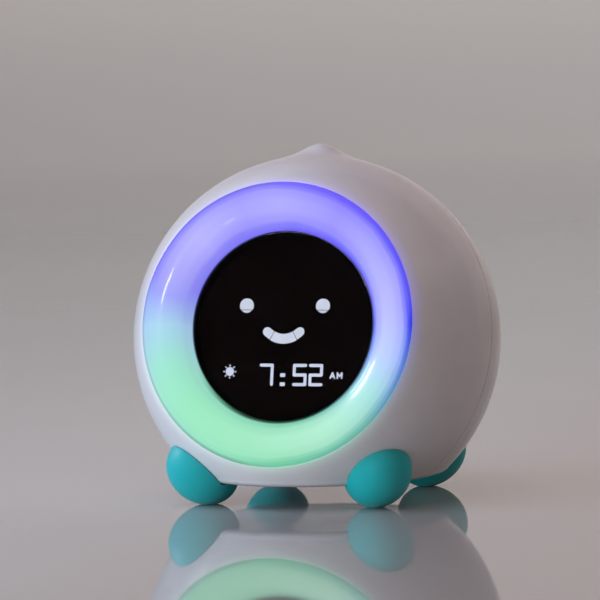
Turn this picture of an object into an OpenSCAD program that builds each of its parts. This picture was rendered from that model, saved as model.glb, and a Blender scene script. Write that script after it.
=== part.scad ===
// Round bedside alarm clock for a child's room, with a glowing ring around its display.
// Millimetres, +Z up, front towards -Y. The origin is on the table, in the middle of the clock's box.

/* [Ball case] */
// Outer radius of the ball
ball_r = 65.5; // [62:0.5:74]
// Thickness of the moulded case wall
wall = 2.4; // [1.8:0.1:3]
// Backward lean of the face and of the seam
tilt = 12; // [6:0.5:16]
// Radius of the flat under the belly
base_r = 44.1; // [42:0.1:46]
// Gap between the belly and the table
belly_gap = 8; // [6:0.1:9]
// Radius of the flat panel at the back
panel_r = 30.4; // [30:0.2:34]
// Open joint line between the two half shells
seam_gap = 0.3; // [0.2:0.05:0.5]
// Height of the little peak over the ball
tip_h = 4.2; // [2:0.1:6]
// Radius over which the peak blends into the ball
tip_r = 12.5; // [9:0.5:16]
// Lean of the peak behind the vertical
tip_lean = 7.6; // [0:0.2:8]

/* [Light ring] */
// Outer radius of the glowing ring
ring_r = 50; // [49:0.2:51]
// Height of the ring's outer edge over the ball
ring_proud = 0.6; // [0.3:0.1:1.2]
// Wall of the moulded ring lens
ring_wall = 2; // [1.6:0.1:2.4]
// Bulge of the ring's front over a straight cone
ring_bulge = 3; // [2:0.1:3.6]
// Number of lamps under the ring
ring_lamps = 16; // [8:1:24]

/* [Display] */
// Radius of the round display
display_r = 33.4; // [32.6:0.1:34]
// Depth of the display behind the ring's outer edge
display_drop = 7.4; // [6:0.1:8.4]
// Thickness of the clear lens
lens_t = 1.8; // [1.2:0.1:2.4]
// Thickness of the bonding tape behind the lens
tape_t = 0.2; // [0.1:0.05:0.4]
// Thickness of the black mask
mask_t = 0.8; // [0.6:0.1:1.2]
// Thickness of the diffuser film
film_t = 0.3; // [0.2:0.05:0.5]
// Depth of the light box behind the film
box_depth = 7.5; // [6:0.1:8.4]

/* [Display marks] */
// Half distance between the two round marks
eye_x = 14.25; // [12:0.25:16]
// Height of the round marks over the display's centre
eye_y = 7.3; // [5:0.1:10]
// Radius of the round marks
eye_r = 2.6; // [2:0.1:3.2]
// Radius of the middle line of the curved mark
smile_r = 8.8; // [7:0.1:10]
// Height of the curved mark's lowest point on its middle line
smile_y = -4.3; // [-5.5:0.1:-2]
// Half angle of the curved mark
smile_half = 44; // [30:1:55]
// Thickness of the curved mark
smile_w = 3.4; // [2.5:0.1:4]
// Height of the digits
digit_h = 7.8; // [6:0.1:8.4]
// Width of a digit
digit_w = 5.2; // [4.6:0.1:5.6]
// Distance between neighbouring digits
digit_pitch = 6; // [5.9:0.05:6.4]
// Stroke of the digits
digit_stroke = 1.05; // [0.9:0.05:1.4]
// Height of the digits' middle over the display's centre
digit_y = -17; // [-18:0.1:-15]
// Middle of the minute digits
minute_x = 9.75; // [9.2:0.05:10.6]
// Middle of the hour digit
hour_x = -5.7; // [-7:0.1:-4.6]

/* [Feet] */
// Half length of an egg foot
foot_half = 13.8; // [12:0.1:15]
// Largest radius of an egg foot
foot_r = 12; // [10:0.1:13]
// How much fatter the outer end of the egg is
foot_fat = 0.1; // [0:0.02:0.3]
// Rise of the foot's long axis
foot_rise = 42; // [25:1:60]
// Height worn off under the foot, which leaves its flat
foot_flat = 0.45; // [0.3:0.05:1]
// Depth of the egg's centre under the ball's surface
foot_sink = 2.3; // [0:0.1:4]
// Angle of the front feet away from straight ahead
front_spread = 46; // [38:1:54]
// Angle of the rear feet away from straight back
rear_spread = 41; // [34:1:50]
// Radius of the peg that passes through the shell
peg_r = 3; // [2.5:0.1:3.5]

/* [Buttons] */
// Radius of a button cap
cap_r = 4; // [3.4:0.1:4.4]
// Height of a cap over the back panel
cap_proud = 1.4; // [1:0.1:2]
// Travel of a button
cap_travel = 0.8; // [0.4:0.1:1]
// Distance between the buttons of a row
cap_pitch = 14; // [13:0.1:14.6]
// Distance between the two rows of buttons
row_pitch = 12.5; // [12:0.1:13]
// Height of the lower row over the panel's centre
row_y = 6.5; // [6.4:0.1:7]

/* [Speaker] */
// Outer radius of the speaker's rim
speaker_r = 13; // [11:0.2:13.2]
// Height of the speaker's middle under the panel's centre
speaker_y = -13; // [-13.4:0.2:-12.8]
// Radius of one grille hole
grille_hole_r = 0.8; // [0.5:0.1:0.9]

/* [Boards and battery] */
// Thickness of the circuit boards
board_t = 1.6; // [1:0.1:2]
// Width of the main board
main_w = 62; // [56:1:66]
// Height of the main board
main_h = 44; // [40:1:48]
// Radius of the coin cell
cell_r = 10; // [8:0.5:10]
// Thickness of the coin cell
cell_t = 3.2; // [1.6:0.1:3.2]
// Length of the battery door
door_w = 38; // [37.6:0.2:40]
// Depth of the battery door, front to back
door_d = 24; // [23.4:0.2:26]

/* [Fits] */
// Gap around the ring, display and caps in their openings
fit_gap = 0.2; // [0.15:0.05:0.3]
// Gap around a light window in the black mask
window_gap = 0.05; // [0.03:0.01:0.1]
// Gap between a foot and the shell
foot_gap = 0.12; // [0.1:0.02:0.3]
// Gap around a button cap and behind its flange
cap_gap = 0.3; // [0.25:0.05:0.4]
// Radial gap around a screw's thread
thread_gap = 0.1; // [0.05:0.01:0.15]

/* [Hidden] */
$fn = 64;

// Colours
SHELL_WHITE = [0.86, 0.85, 0.89];
TEAL = [0.05, 0.6, 0.66];
GLOW = [0.62, 0.68, 0.98];
LIT_WHITE = [0.9, 0.92, 1];
BOARD_GREEN = [0.1, 0.4, 0.25];
STEEL = [0.7, 0.7, 0.72];
BLACK = [0.06, 0.06, 0.07];

// Case
inner_r = ball_r - wall;
belly_drop = sqrt(pow(ball_r, 2) - pow(base_r, 2));
ball_z = belly_gap + belly_drop;
panel_z = -sqrt(pow(ball_r, 2) - pow(panel_r, 2));
panel_in = panel_z + wall;
room = 2 * ball_r;
overlap = 0.5;

// Ring and display stack, along the face's own axis from the ball's centre
ring_edge = sqrt(pow(ball_r, 2) - pow(ring_r, 2)) + ring_proud;
lens_front = ring_edge - display_drop;
lens_back = lens_front - lens_t;
mask_front = lens_back - tape_t;
mask_back = mask_front - mask_t;
film_back = mask_back - film_t;
box_back = film_back - box_depth;
carrier_front = box_back - board_t;
carrier_t = 2;
carrier_back = carrier_front - carrier_t;
ring_hole = display_r + fit_gap;
ledge_t = 2;
ledge_w = 1.8;
ledge_in = display_r - ledge_w;
ledge_back = mask_back - ledge_t;
box_r = ledge_in - fit_gap;
skirt_t = 2.2;
skirt_in = ring_r - skirt_t;
flange_w = 1.8;
flange_r = ring_r + flange_w;
flange_t = 1.7;
flange_front = sqrt(pow(inner_r, 2) - pow(flange_r, 2)) - 0.1;
skirt_back = flange_front - flange_t;

// The ring's front is an arc through the display's rim and the outer edge
arc_in = [ring_hole, lens_front + 0.3];
arc_out = [ring_r, ring_edge];
arc_chord = norm(arc_out - arc_in);
arc_r = pow(arc_chord, 2) / (8 * ring_bulge) + ring_bulge / 2;
arc_side = [arc_in[1] - arc_out[1], arc_out[0] - arc_in[0]] / arc_chord;
arc_mid = (arc_in + arc_out) / 2 - (arc_r - ring_bulge) * arc_side;

// The whole clock stands centred over its origin, front to back
front_reach = ring_edge * cos(tilt) + ring_r * sin(tilt);
back_reach = -panel_z * cos(tilt) + panel_r * sin(tilt);
ball_y = (front_reach - back_reach) / 2;

// Ring lamps and their tray
tray_floor = 1.2;
tray_wall = 1.2;
tray_inset = 2.4;
tray_in = box_r + tray_inset;
tray_out = ring_r - tray_wall;
ring_board_front = carrier_front + tray_floor + board_t;
ring_lamp_w = 4;
ring_lamp_t = 1.6;
ring_lamp_at = (tray_in + tray_out) / 2;

// Screws of the carrier, of the shells and of the boards
screw_r = 1.2;
pilot_r = screw_r + thread_gap;
pass_gap = 0.15;
small_screw_r = 0.9;
small_pilot_r = small_screw_r + thread_gap;
small_head_r = 1.9;
small_head_t = 1.2;
ear_r = 3.4;
ear_out = 0.404;
ear_bite = 2.3;
carrier_room = sqrt(pow(inner_r, 2) - pow(carrier_back, 2));
ears_in = sqrt(pow(inner_r, 2) - pow(carrier_front, 2)) - fit_gap;
carrier_screw_at = (tray_out + carrier_room) / 2 + ear_out; // midway from the tray to the shell
ear_reach = carrier_screw_at - tray_out + ear_bite;
carrier_angles = [35, 145, 215, 325];
boss_inset = 8.6;
shell_screw_at = inner_r - boss_inset;
shell_bite = 10;
carrier_bite = 6;
board_bite = 5;
post_bite = 4;
shell_angles = [55, 125, 200, 340];
shell_boss_r = 3.6;
seat_z = -3;
boss_over = 4;
shell_boss_top = seat_z + shell_bite + boss_over;
seat_t = 2.4;
well_r = 2.9;
well_wall = 1.5;
rib_t = 1.6;
rib_back = -30;
tongue_t = 1.1;
tongue_h = 2;
tongue_in = 0.3;
tongue_fit = 0.1;
head_r = 2.4;
head_t = 1.8;

// Main board, behind the carrier
standoff_h = 8;
standoff_r = 2.6;
main_front = carrier_back - standoff_h;
main_back = main_front - board_t;
main_y = 4;
main_inset = 4;
slot_w = 16;
slot_h = 4;
slot_y = -6;

// Feet
foot_z = sqrt(pow(foot_half * sin(foot_rise), 2) + pow(foot_r * cos(foot_rise), 2)) - foot_flat;
foot_out = sqrt(pow(ball_r - foot_sink, 2) - pow(ball_z - foot_z, 2));
foot_drop = asin((ball_z - foot_z) / (ball_r - foot_sink));
foot_steps = 18;
peg_boss_h = 2.1;
peg_seat = inner_r - peg_boss_h;
peg_root = ball_r + 4;
peg_wall = 2.6;
peg_boss_r = peg_r + peg_wall;
peg_head_w = 1.4;
peg_head_r = peg_r + peg_head_w;
peg_screw = 5.4;

// Rear panel pieces, from the panel inwards
cap_flange_r = cap_r + 1.2;
cap_flange_t = 1;
cap_hole_r = cap_r + cap_gap;
plunger_r = 1.6;
plunger_in = 1.4;
switch_room = 1.9;
switch_t = 3.5;
switch_w = 6;
flange_back = panel_in + cap_gap;
stem_back = flange_back + cap_flange_t;
switch_back = stem_back + cap_travel + switch_room;
button_board_back = switch_back + switch_t;
button_board_w = 3 * cap_pitch + 6;
button_board_h = row_pitch + 2 * cap_r + 3;
button_mid_y = row_y + row_pitch / 2;
button_post_x = cap_pitch + cap_flange_r + 2.4;
button_post_r = 1.9;
BUTTONS = [[-1, 1], [0, 1], [1, 1], [-1, 0], [0, 0], [1, 0]];
icon_h = 0.3;

// Speaker
gasket_t = 0.8;
rim_t = 1;
rim_in = speaker_r - 2.4;
basket_h = 7.5;
basket_r = 6.8;
basket_wall = 0.8;
magnet_h = 4.8;
magnet_r = 6.2;
speaker_rim_z = panel_in + gasket_t + rim_t;
speaker_screw_at = speaker_r + button_post_r + fit_gap;
clamp_head_r = 3.1;
grille_step = 2.7;
speaker_screw_angles = [135, 225, 315];

// Power inlet, a small flat oval socket on its own board
inlet_x = 20.6;
inlet_y = -9;
inlet_w = 9;
inlet_h = 3.2;
inlet_depth = 7.4;
inlet_shell = 0.35;
inlet_blade_w = 5;
inlet_blade_t = 0.7;
inlet_blade_l = 6.2;
inlet_board_w = 11;
inlet_board_t = 1.2;
inlet_board_d = 14;
inlet_recess = 0.6;
solder_t = 0.05;

// Battery door and cell, in the flat of the belly
door_back = 14;
door_y = ball_y + door_back;
door_t = 1.6;
floor_z = belly_gap + wall;
cell_x = -5;
cell_room = cell_r + 0.6;
door_screw_inset = 4.2;
door_screw_x = door_w / 2 - door_screw_inset;
door_boss_r = 3;
door_boss_h = 6;
holder_wall = 2;
cell_z = floor_z + 0.3;
holder_h = cell_t + 2.3;

// Wraps: the ball's centre, and the face's own frame with +Z out of the face and +Y up it
module at_ball() { translate([0, ball_y, ball_z]) children(); }
module on_face() { at_ball() rotate([90 - tilt, 0, 0]) children(); }
module around(angles, at) { for (a = angles) rotate([0, 0, a]) translate([at, 0, 0]) children(); }
module disc(r, back, front) { translate([0, 0, back]) cylinder(r = r, h = front - back); }

module ring_plate(r_in, r_out, back, front) {
    difference() {
        disc(r_out, back, front);
        disc(r_in, back - overlap, front + overlap);
    }
}

// A plain screw along +Z: its head's underside at z = 0 and its thread upwards
module screw(r, length, cap, cap_t) {
    difference() {
        union() {
            translate([0, 0, -cap_t * 0.3]) cylinder(r = r, h = length + cap_t * 0.3);
            translate([0, 0, -cap_t]) cylinder(r = cap, h = cap_t);
        }
        for (a = [0, 90]) rotate([0, 0, a])
            translate([-cap * 0.6, -cap * 0.12, -cap_t - 1])
                cube([cap * 1.2, cap * 0.24, 1 + cap_t * 0.6]);
    }
}

// The ball with its belly and back cut flat; inset moves every face inwards
module ball_solid(inset) {
    intersection() {
        at_ball() sphere(r = ball_r - inset, $fn = 128);
        translate([-room, ball_y - room, belly_gap + inset]) cube(2 * room);
        on_face() translate([-room, -room, panel_z + inset]) cube(2 * room);
    }
}

module above_floor(lift) { translate([-room, ball_y - room, floor_z + lift]) cube(2 * room); }
module front_half() { on_face() translate([-room, -room, 0]) cube(2 * room); }
module rear_half() {
    on_face() translate([-room, -room, -2 * room - seam_gap]) cube(2 * room);
}

// A foot's peg axis, as +Z away from the ball's centre, which stays at z = 0
module toward_foot(spread, side, rear) {
    at_ball() rotate([0, 0, rear ? 90 - side * spread : -90 + side * spread])
        rotate([0, 90 + foot_drop, 0]) children();
}

// Room round the front feet's pegs and screws, for what lies near them inside the case
module foot_relief() {
    for (side = [-1, 1]) toward_foot(front_spread, side, false)
        disc(peg_boss_r + fit_gap, peg_seat - head_t - fit_gap, ball_r);
}

module peak() {
    at_ball() rotate([-tip_lean, 0, 0]) rotate_extrude($fn = 96) polygon(concat(
        [[0, ball_r - wall * 0.6], [0, ball_r + tip_h - 0.15]],
        [for (i = [1 : 12]) let (r = tip_r * i / 12)
            [r, sqrt(pow(ball_r, 2) - r * r) + tip_h * (1 + cos(180 * i / 12)) / 2 - 0.15]],
        [[tip_r, ball_r - wall * 0.6 - 1.4]]));
}

module front_shell() {
    color(SHELL_WHITE) difference() {
        union() {
            difference() {
                intersection() {
                    ball_solid(0);
                    front_half();
                }
                ball_solid(wall);
            }
            intersection() {
                peak();
                front_half();
            }
            // Tongue that centres the rear shell
            intersection() {
                on_face() ring_plate(inner_r - tongue_in, inner_r + tongue_t - tongue_fit,
                                     -tongue_h, overlap);
                above_floor(tongue_fit);
            }
            intersection() {
                ball_solid(wall / 2);
                on_face() {
                    around(carrier_angles, carrier_screw_at)
                        disc(ear_r, carrier_front, skirt_back - 0.3);
                    around(shell_angles, shell_screw_at) disc(shell_boss_r, seat_z, shell_boss_top);
                    around(shell_angles, shell_screw_at)
                        translate([0, -rib_t / 2, 0.5]) cube([boss_inset, rib_t, shell_boss_top - 0.5]);
                }
            }
            for (side = [-1, 1]) intersection() {
                toward_foot(front_spread, side, false) disc(peg_boss_r, peg_seat, ball_r);
                ball_solid(wall / 2);
            }
        }
        on_face() {
            disc(ring_r + fit_gap, flange_front + 0.1, room);
            around(carrier_angles, carrier_screw_at)
                disc(pilot_r, carrier_front - 1, carrier_front + carrier_bite + 1);
            around(shell_angles, shell_screw_at) disc(pilot_r, seat_z - 1, seat_z + shell_bite + 2);
        }
        for (side = [-1, 1]) toward_foot(front_spread, side, false)
            disc(peg_r + foot_gap, peg_seat - 1, ball_r + 2);
    }
}

module rear_shell() {
    color(SHELL_WHITE) difference() {
        union() {
            difference() {
                intersection() {
                    ball_solid(0);
                    rear_half();
                }
                ball_solid(wall);
            }
            intersection() {
                peak();
                rear_half();
            }
            intersection() {
                ball_solid(wall / 2);
                on_face() {
                    around(shell_angles, shell_screw_at)
                        disc(well_r + well_wall, -room, seat_z - 0.02);
                    around(shell_angles, shell_screw_at)
                        translate([0, -rib_t / 2, rib_back])
                            cube([boss_inset, rib_t, seat_z - 0.5 - rib_back]);
                }
            }
            for (side = [-1, 1]) intersection() {
                toward_foot(rear_spread, side, true) disc(peg_boss_r, peg_seat, ball_r);
                ball_solid(wall / 2);
            }
            on_face() {
                for (side = [-1, 1]) translate([side * button_post_x, button_mid_y, 0])
                    disc(button_post_r, panel_in - overlap, button_board_back);
                translate([0, speaker_y, 0]) around(speaker_screw_angles, speaker_screw_at)
                    disc(button_post_r, panel_in - overlap, speaker_rim_z);
                inlet_rails();
            }
            translate([door_screw_x, door_y, floor_z - overlap])
                cylinder(r = door_boss_r, h = door_boss_h + overlap);
        }
        // Rebate for the front shell's tongue
        intersection() {
            on_face() disc(inner_r + tongue_t, -tongue_h - 2 * tongue_fit, room);
            above_floor(0);
        }
        on_face() {
            around(shell_angles, shell_screw_at) {
                disc(well_r, -room, seat_z - seat_t);
                disc(pilot_r + pass_gap, -room, room);
            }
            for (b = BUTTONS) at_button(b) disc(cap_hole_r, panel_z - 1, panel_in + 1);
            for (side = [-1, 1]) translate([side * button_post_x, button_mid_y, 0])
                disc(small_pilot_r, button_board_back - post_bite - 1, button_board_back + 1);
            translate([0, speaker_y, 0]) around(speaker_screw_angles, speaker_screw_at)
                disc(small_pilot_r, panel_in + 0.2, speaker_rim_z + 1);
            translate([0, speaker_y, 0]) grille_holes();
            inlet_cutout();
        }
        for (side = [-1, 1]) toward_foot(rear_spread, side, true)
            disc(peg_r + foot_gap, peg_seat - 1, ball_r + 2);
        // Battery door recess and opening
        translate([-door_w / 2 - fit_gap, door_y - door_d / 2 - fit_gap, belly_gap - 1])
            cube([door_w + 2 * fit_gap, door_d + 2 * fit_gap, 1 + door_t]);
        translate([cell_x - cell_room, door_y - cell_room, belly_gap])
            cube([2 * cell_room, 2 * cell_room, wall + 1]);
        translate([door_screw_x, door_y, belly_gap])
            cylinder(r = small_pilot_r, h = wall + door_boss_h - 1);
    }
}

module at_button(b) { translate([b[0] * cap_pitch, row_y + b[1] * row_pitch, 0]) children(); }

// Holes on rings of 1, 6, 12 and 18
module grille_holes() {
    for (ring = [0 : 3], i = [0 : max(1, 6 * ring) - 1])
        rotate([0, 0, 360 * i / max(1, 6 * ring)]) translate([grille_step * ring, 0, 0])
            disc(grille_hole_r, panel_z - 1, panel_in + 1);
}

// Flat oval across X, drawn as a bar with round ends
module oval(w, h, back, front) {
    translate([0, 0, back]) linear_extrude(front - back) {
        square([w - h, h], center = true);
        for (side = [-1, 1]) translate([side * (w - h) / 2, 0]) circle(d = h);
    }
}

module inlet_cutout() {
    translate([inlet_x, inlet_y, 0])
        oval(inlet_w + 2 * fit_gap, inlet_h + 2 * fit_gap, panel_z - 1, panel_in + 0.01);
}

module inlet_rails() {
    for (side = [-1, 1])
        translate([inlet_x + side * (inlet_board_w / 2 - 1.5) - 0.75, inlet_board_y() - 3,
                   panel_in - overlap])
            cube([1.5, 3, inlet_board_d - 2 + overlap]);
}
function inlet_board_y() = inlet_y - inlet_h / 2 - solder_t - inlet_board_t;

module light_ring() {
    color(GLOW) difference() {
        on_face() rotate_extrude($fn = 128) ring_profile();
        foot_relief();
    }
}

// Half of the ring's section: its domed lens, the display's ledge, the skirt and the flange
module ring_profile() {
    intersection() {
        difference() {
            translate(arc_mid) circle(r = arc_r, $fn = 96);
            translate(arc_mid) circle(r = arc_r - ring_wall, $fn = 96);
        }
        translate([ring_hole, mask_back]) square([ring_r - ring_hole, room / 2]);
    }
    translate([ring_hole, ledge_back]) square([ring_wall, mask_front - ledge_back + 1.6]);
    translate([ledge_in, ledge_back]) square([ring_hole - ledge_in + overlap, ledge_t]);
    translate([skirt_in, skirt_back]) square([ring_r - skirt_in, ring_edge - skirt_back - 1.6]);
    translate([ring_r - overlap, skirt_back]) square([flange_r - ring_r + overlap, flange_t]);
}

module display_lens() { color(BLACK) on_face() disc(display_r, lens_back, lens_front); }

module lens_tape() {
    color(BLACK) on_face() ring_plate(ledge_in, display_r - 0.3, mask_front, lens_back);
}

// A straight stroke with round ends, from p to q, as computed points
module stroke(p, q, w) {
    d = atan2(q[1] - p[1], q[0] - p[0]);
    polygon(concat(
        [for (i = [0 : 6]) q + w / 2 * [cos(d - 90 + 30 * i), sin(d - 90 + 30 * i)]],
        [for (i = [0 : 6]) p + w / 2 * [cos(d + 90 + 30 * i), sin(d + 90 + 30 * i)]]));
}

// Corners of a digit's strokes: 0 to 2 down the left side, 3 to 5 down the right side
function digit_point(i) = [(i < 3 ? -1 : 1) * (digit_w - digit_stroke) / 2,
                           (1 - i % 3) * (digit_h - digit_stroke) / 2];
SEVEN = [[0, 3], [3, 5]];
FIVE = [[0, 3], [0, 1], [1, 4], [4, 5], [2, 5]];
TWO = [[0, 3], [3, 4], [1, 4], [1, 2], [2, 5]];

module digit(strokes, x, grow) {
    translate([x, digit_y]) for (s = strokes)
        stroke(digit_point(s[0]), digit_point(s[1]), digit_stroke + 2 * grow);
}

module digits(grow) {
    digit(SEVEN, hour_x, grow);
    digit(FIVE, minute_x - digit_pitch / 2, grow);
    digit(TWO, minute_x + digit_pitch / 2, grow);
}

colon_w = 1.8;
colon_h = 1.25;
colon_x = (hour_x + minute_x - digit_pitch / 2) / 2 - 0.1;
module colon(grow) {
    for (y = [digit_y - 0.1, digit_y - 3.3]) translate([colon_x, y])
        square([colon_w + 2 * grow, colon_h + 2 * grow], center = true);
}

// Round marks are split by a thin line, like a lid
lid_drop = 1.3;
lid_line = 0.25;
module eyes(grow) {
    for (side = [-1, 1]) translate([side * eye_x, eye_y]) {
        intersection() {
            circle(r = eye_r + grow);
            translate([-eye_r * 2, -lid_drop - grow]) square(eye_r * 4);
        }
        intersection() {
            circle(r = eye_r - 0.15 + grow);
            translate([-eye_r * 2, -lid_drop - lid_line + grow - eye_r * 4]) square(eye_r * 4);
        }
    }
}

// One piece of an arc band, between two angles from straight down
function arc_point(r, a) = [r * sin(a), smile_y + smile_r - r * cos(a)];
module arc_band(a0, a1, w) {
    polygon(concat(
        [for (i = [0 : 8]) arc_point(smile_r + w / 2, a0 + (a1 - a0) * i / 8)],
        [for (i = [8 : -1 : 0]) arc_point(smile_r - w / 2, a0 + (a1 - a0) * i / 8)]));
}

smile_split = smile_half * 0.66;
module smile(grow) {
    edge = asin((lid_line / 2 - grow) / smile_r);
    arc_band(-smile_split + edge, smile_split - edge, smile_w + 2 * grow);
    for (side = [-1, 1]) mirror([side < 0 ? 1 : 0, 0]) {
        a0 = smile_split + edge;
        w = smile_w - 0.15 + 2 * grow;
        mid = arc_point(smile_r, smile_half);
        polygon(concat(
            [arc_point(smile_r - w / 2, a0), arc_point(smile_r + w / 2, a0)],
            [for (i = [0 : 8]) mid + w / 2 * [cos(smile_half - 90 + 22.5 * i),
                                              sin(smile_half - 90 + 22.5 * i)]]));
    }
}

sun_at = [-19.5, -16];
sun_r = 1.55;
sun_ray = 2.45;
sun_ray_w = 0.36;
module sun(grow) {
    translate(sun_at) {
        circle(r = sun_r + grow);
        for (i = [0 : 7]) rotate([0, 0, 45 * i]) translate([0, -sun_ray_w / 2 - grow])
            square([sun_ray + grow, sun_ray_w + 2 * grow]);
    }
}

am_at = [20.3, -17.1];
am_h = 2.4;
am_w = 2.15;
am_stroke = 0.5;
module am_letters(grow) {
    w = am_stroke + 2 * grow;
    h = (am_h - am_stroke) / 2;
    x = (am_w - am_stroke) / 2;
    translate(am_at - [am_w / 2 + 0.25, 0]) {
        stroke([-x, -h], [0, h], w);
        stroke([x, -h], [0, h], w);
        stroke([-x / 2, -h / 3], [x / 2, -h / 3], w);
    }
    translate(am_at + [am_w / 2 + 0.25, 0]) {
        stroke([-x, -h], [-x, h], w);
        stroke([x, -h], [x, h], w);
        stroke([-x, h], [0, -h / 3], w);
        stroke([x, h], [0, -h / 3], w);
    }
}

module window() {
    color(LIT_WHITE) on_face() translate([0, 0, mask_back]) linear_extrude(mask_t) children();
}
module eye_windows() { window() eyes(0); }
module smile_windows() { window() smile(0); }
module digit_windows() { window() digits(0); }
module colon_windows() { window() colon(0); }
module sun_window() { window() sun(0); }
module am_windows() { window() am_letters(0); }

module icon_mask() {
    color(BLACK) on_face() difference() {
        disc(display_r, mask_back, mask_front);
        translate([0, 0, mask_back - 1]) linear_extrude(mask_t + 2) {
            eyes(window_gap);
            smile(window_gap);
            digits(window_gap);
            colon(window_gap);
            sun(window_gap);
            am_letters(window_gap);
        }
    }
}

module diffuser_film() { color(LIT_WHITE) on_face() disc(box_r, film_back, mask_back); }

// One straight well behind each group of marks
well_margin = 0.6;
digit_cell = [digit_pitch - 0.7, digit_h + 2 * well_margin];
smile_well = [2 * (smile_r * sin(smile_half) + smile_w / 2 + well_margin), 8];
am_well = [2 * am_w + 1.8, am_h + 2 * well_margin];
module light_box() {
    color("white") on_face() difference() {
        disc(box_r, box_back, film_back);
        translate([0, 0, box_back - 1]) linear_extrude(box_depth + 2) {
            for (side = [-1, 1]) translate([side * eye_x, eye_y]) circle(r = eye_r + well_margin);
            translate([0, smile_y + 1.4]) square(smile_well, center = true);
            for (x = [hour_x, minute_x - digit_pitch / 2, minute_x + digit_pitch / 2])
                translate([x, digit_y]) square(digit_cell, center = true);
            translate([colon_x, digit_y - 1.75]) square([colon_w + 1, 6], center = true);
            translate(sun_at) circle(r = sun_ray + well_margin);
            translate(am_at) square(am_well, center = true);
        }
    }
}

module display_board() { color(BOARD_GREEN) on_face() disc(box_r, carrier_front, box_back); }

function lamp_spots() = concat(
    [for (side = [-1, 1]) [side * eye_x, eye_y]],
    [for (i = [-1 : 1]) [i * smile_well[0] / 3, smile_y + 1.4]],
    [for (x = [hour_x, minute_x - digit_pitch / 2, minute_x + digit_pitch / 2], side = [-1, 1])
        [x, digit_y + side * digit_h / 4]],
    [[colon_x, digit_y - 1.75], sun_at, am_at]);

module display_lamps() {
    color("gold") on_face() for (p = lamp_spots())
        translate([p[0] - 0.8, p[1] - 0.6, box_back]) cube([1.6, 1.2, 0.8]);
}

// White tray under the light ring; its walls carry the ring's ledge and skirt
module ring_reflector() {
    color("white") difference() {
        on_face() rotate_extrude($fn = 128) {
            translate([tray_in, carrier_front]) square([tray_out - tray_in, tray_floor]);
            translate([tray_in, carrier_front]) square([tray_wall, ledge_back - carrier_front]);
            translate([tray_out - tray_wall, carrier_front])
                square([tray_wall, skirt_back - carrier_front]);
        }
        foot_relief();
    }
}

module ring_board() {
    color(BOARD_GREEN) on_face() ring_plate(tray_in + tray_wall + fit_gap,
        tray_out - tray_wall - fit_gap, carrier_front + tray_floor, ring_board_front);
}

module ring_lamp_chips() {
    color("ivory") on_face() around([for (i = [0 : ring_lamps - 1]) 360 * i / ring_lamps],
                                    ring_lamp_at)
        translate([-ring_lamp_w / 2, -ring_lamp_w / 2, ring_board_front])
            cube([ring_lamp_w, ring_lamp_w, ring_lamp_t]);
}

function main_corners() = [for (x = [-1, 1], y = [-1, 1])
    [x * (main_w / 2 - main_inset), main_y + y * (main_h / 2 - main_inset), 0]];

module front_carrier() {
    color(BLACK) on_face() difference() {
        union() {
            disc(tray_out, carrier_back, carrier_front);
            intersection() {
                around(carrier_angles, carrier_screw_at) {
                    disc(ear_r, carrier_back, carrier_front);
                    translate([-ear_reach, -ear_r, carrier_back])
                        cube([ear_reach, 2 * ear_r, carrier_t]);
                }
                disc(ears_in, carrier_back - 1, carrier_front + 1);
            }
            for (p = main_corners()) translate(p) disc(standoff_r, main_front, carrier_front);
        }
        around(carrier_angles, carrier_screw_at)
            disc(pilot_r + pass_gap, carrier_back - 1, carrier_front + 1);
        for (p = main_corners()) translate(p) disc(small_pilot_r, main_front - 1, carrier_back);
        translate([-slot_w / 2, slot_y, carrier_back - 1]) cube([slot_w, slot_h, carrier_t + 2]);
    }
}

module carrier_screws() {
    color(STEEL) on_face() around(carrier_angles, carrier_screw_at)
        translate([0, 0, carrier_back]) screw(screw_r, carrier_t + carrier_bite, head_r, head_t);
}

module main_board() {
    color(BOARD_GREEN) on_face() difference() {
        translate([-main_w / 2, main_y - main_h / 2, main_back]) cube([main_w, main_h, board_t]);
        for (p = main_corners()) translate(p)
            disc(small_pilot_r + pass_gap, main_back - 1, main_front + 1);
    }
}

// Small screws: four in the main board, two in the button board, three at the speaker's rim
module board_screws() {
    color(STEEL) on_face() {
        for (p = main_corners()) translate(p) translate([0, 0, main_back])
            screw(small_screw_r, board_t + board_bite, small_head_r, small_head_t);
        for (side = [-1, 1])
            translate([side * button_post_x, button_mid_y, button_board_back + board_t])
                rotate([180, 0, 0])
                    screw(small_screw_r, board_t + post_bite, small_head_r, small_head_t);
        translate([0, speaker_y, speaker_rim_z]) around(speaker_screw_angles, speaker_screw_at)
            rotate([180, 0, 0]) screw(small_screw_r, gasket_t + rim_t - 0.4, clamp_head_r, small_head_t);
    }
}

module chip(x, y, w, h, t) {
    translate([x - w / 2, main_y + y - h / 2, main_back - t]) cube([w, h, t]);
}
module processor() { color(BLACK) on_face() chip(-2, 2, 12, 12, 1.4); }
module audio_chip() {
    color(BLACK) on_face() {
        chip(14, -6, 6, 5, 1.5);
        chip(16, 8, 6, 8, 1.5);
    }
}
module crystal_can() { color(STEEL) on_face() chip(-15, 8, 8, 3.4, 2.6); }

cap_can_r = 2.5;
cap_can_h = 6;
module capacitors() {
    color("slategray") on_face() for (p = [[-18, -6], [-12, -10], [24, 2], [20, -14]])
        translate([p[0], main_y + p[1], 0]) disc(cap_can_r, main_back - cap_can_h, main_back);
}

socket_w = 14;
socket_d = 4;
socket_h = 5;
socket_side_w = 8;
socket_x = 26;
socket_y = 16;
socket_low = 6;
module board_sockets() {
    color("ivory") on_face() {
        for (side = [-1, 1]) {
            chip(0, side * socket_y, socket_w, socket_d, socket_h);
            chip(side * socket_x, -socket_low, socket_d, socket_side_w, socket_h);
        }
    }
}

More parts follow.
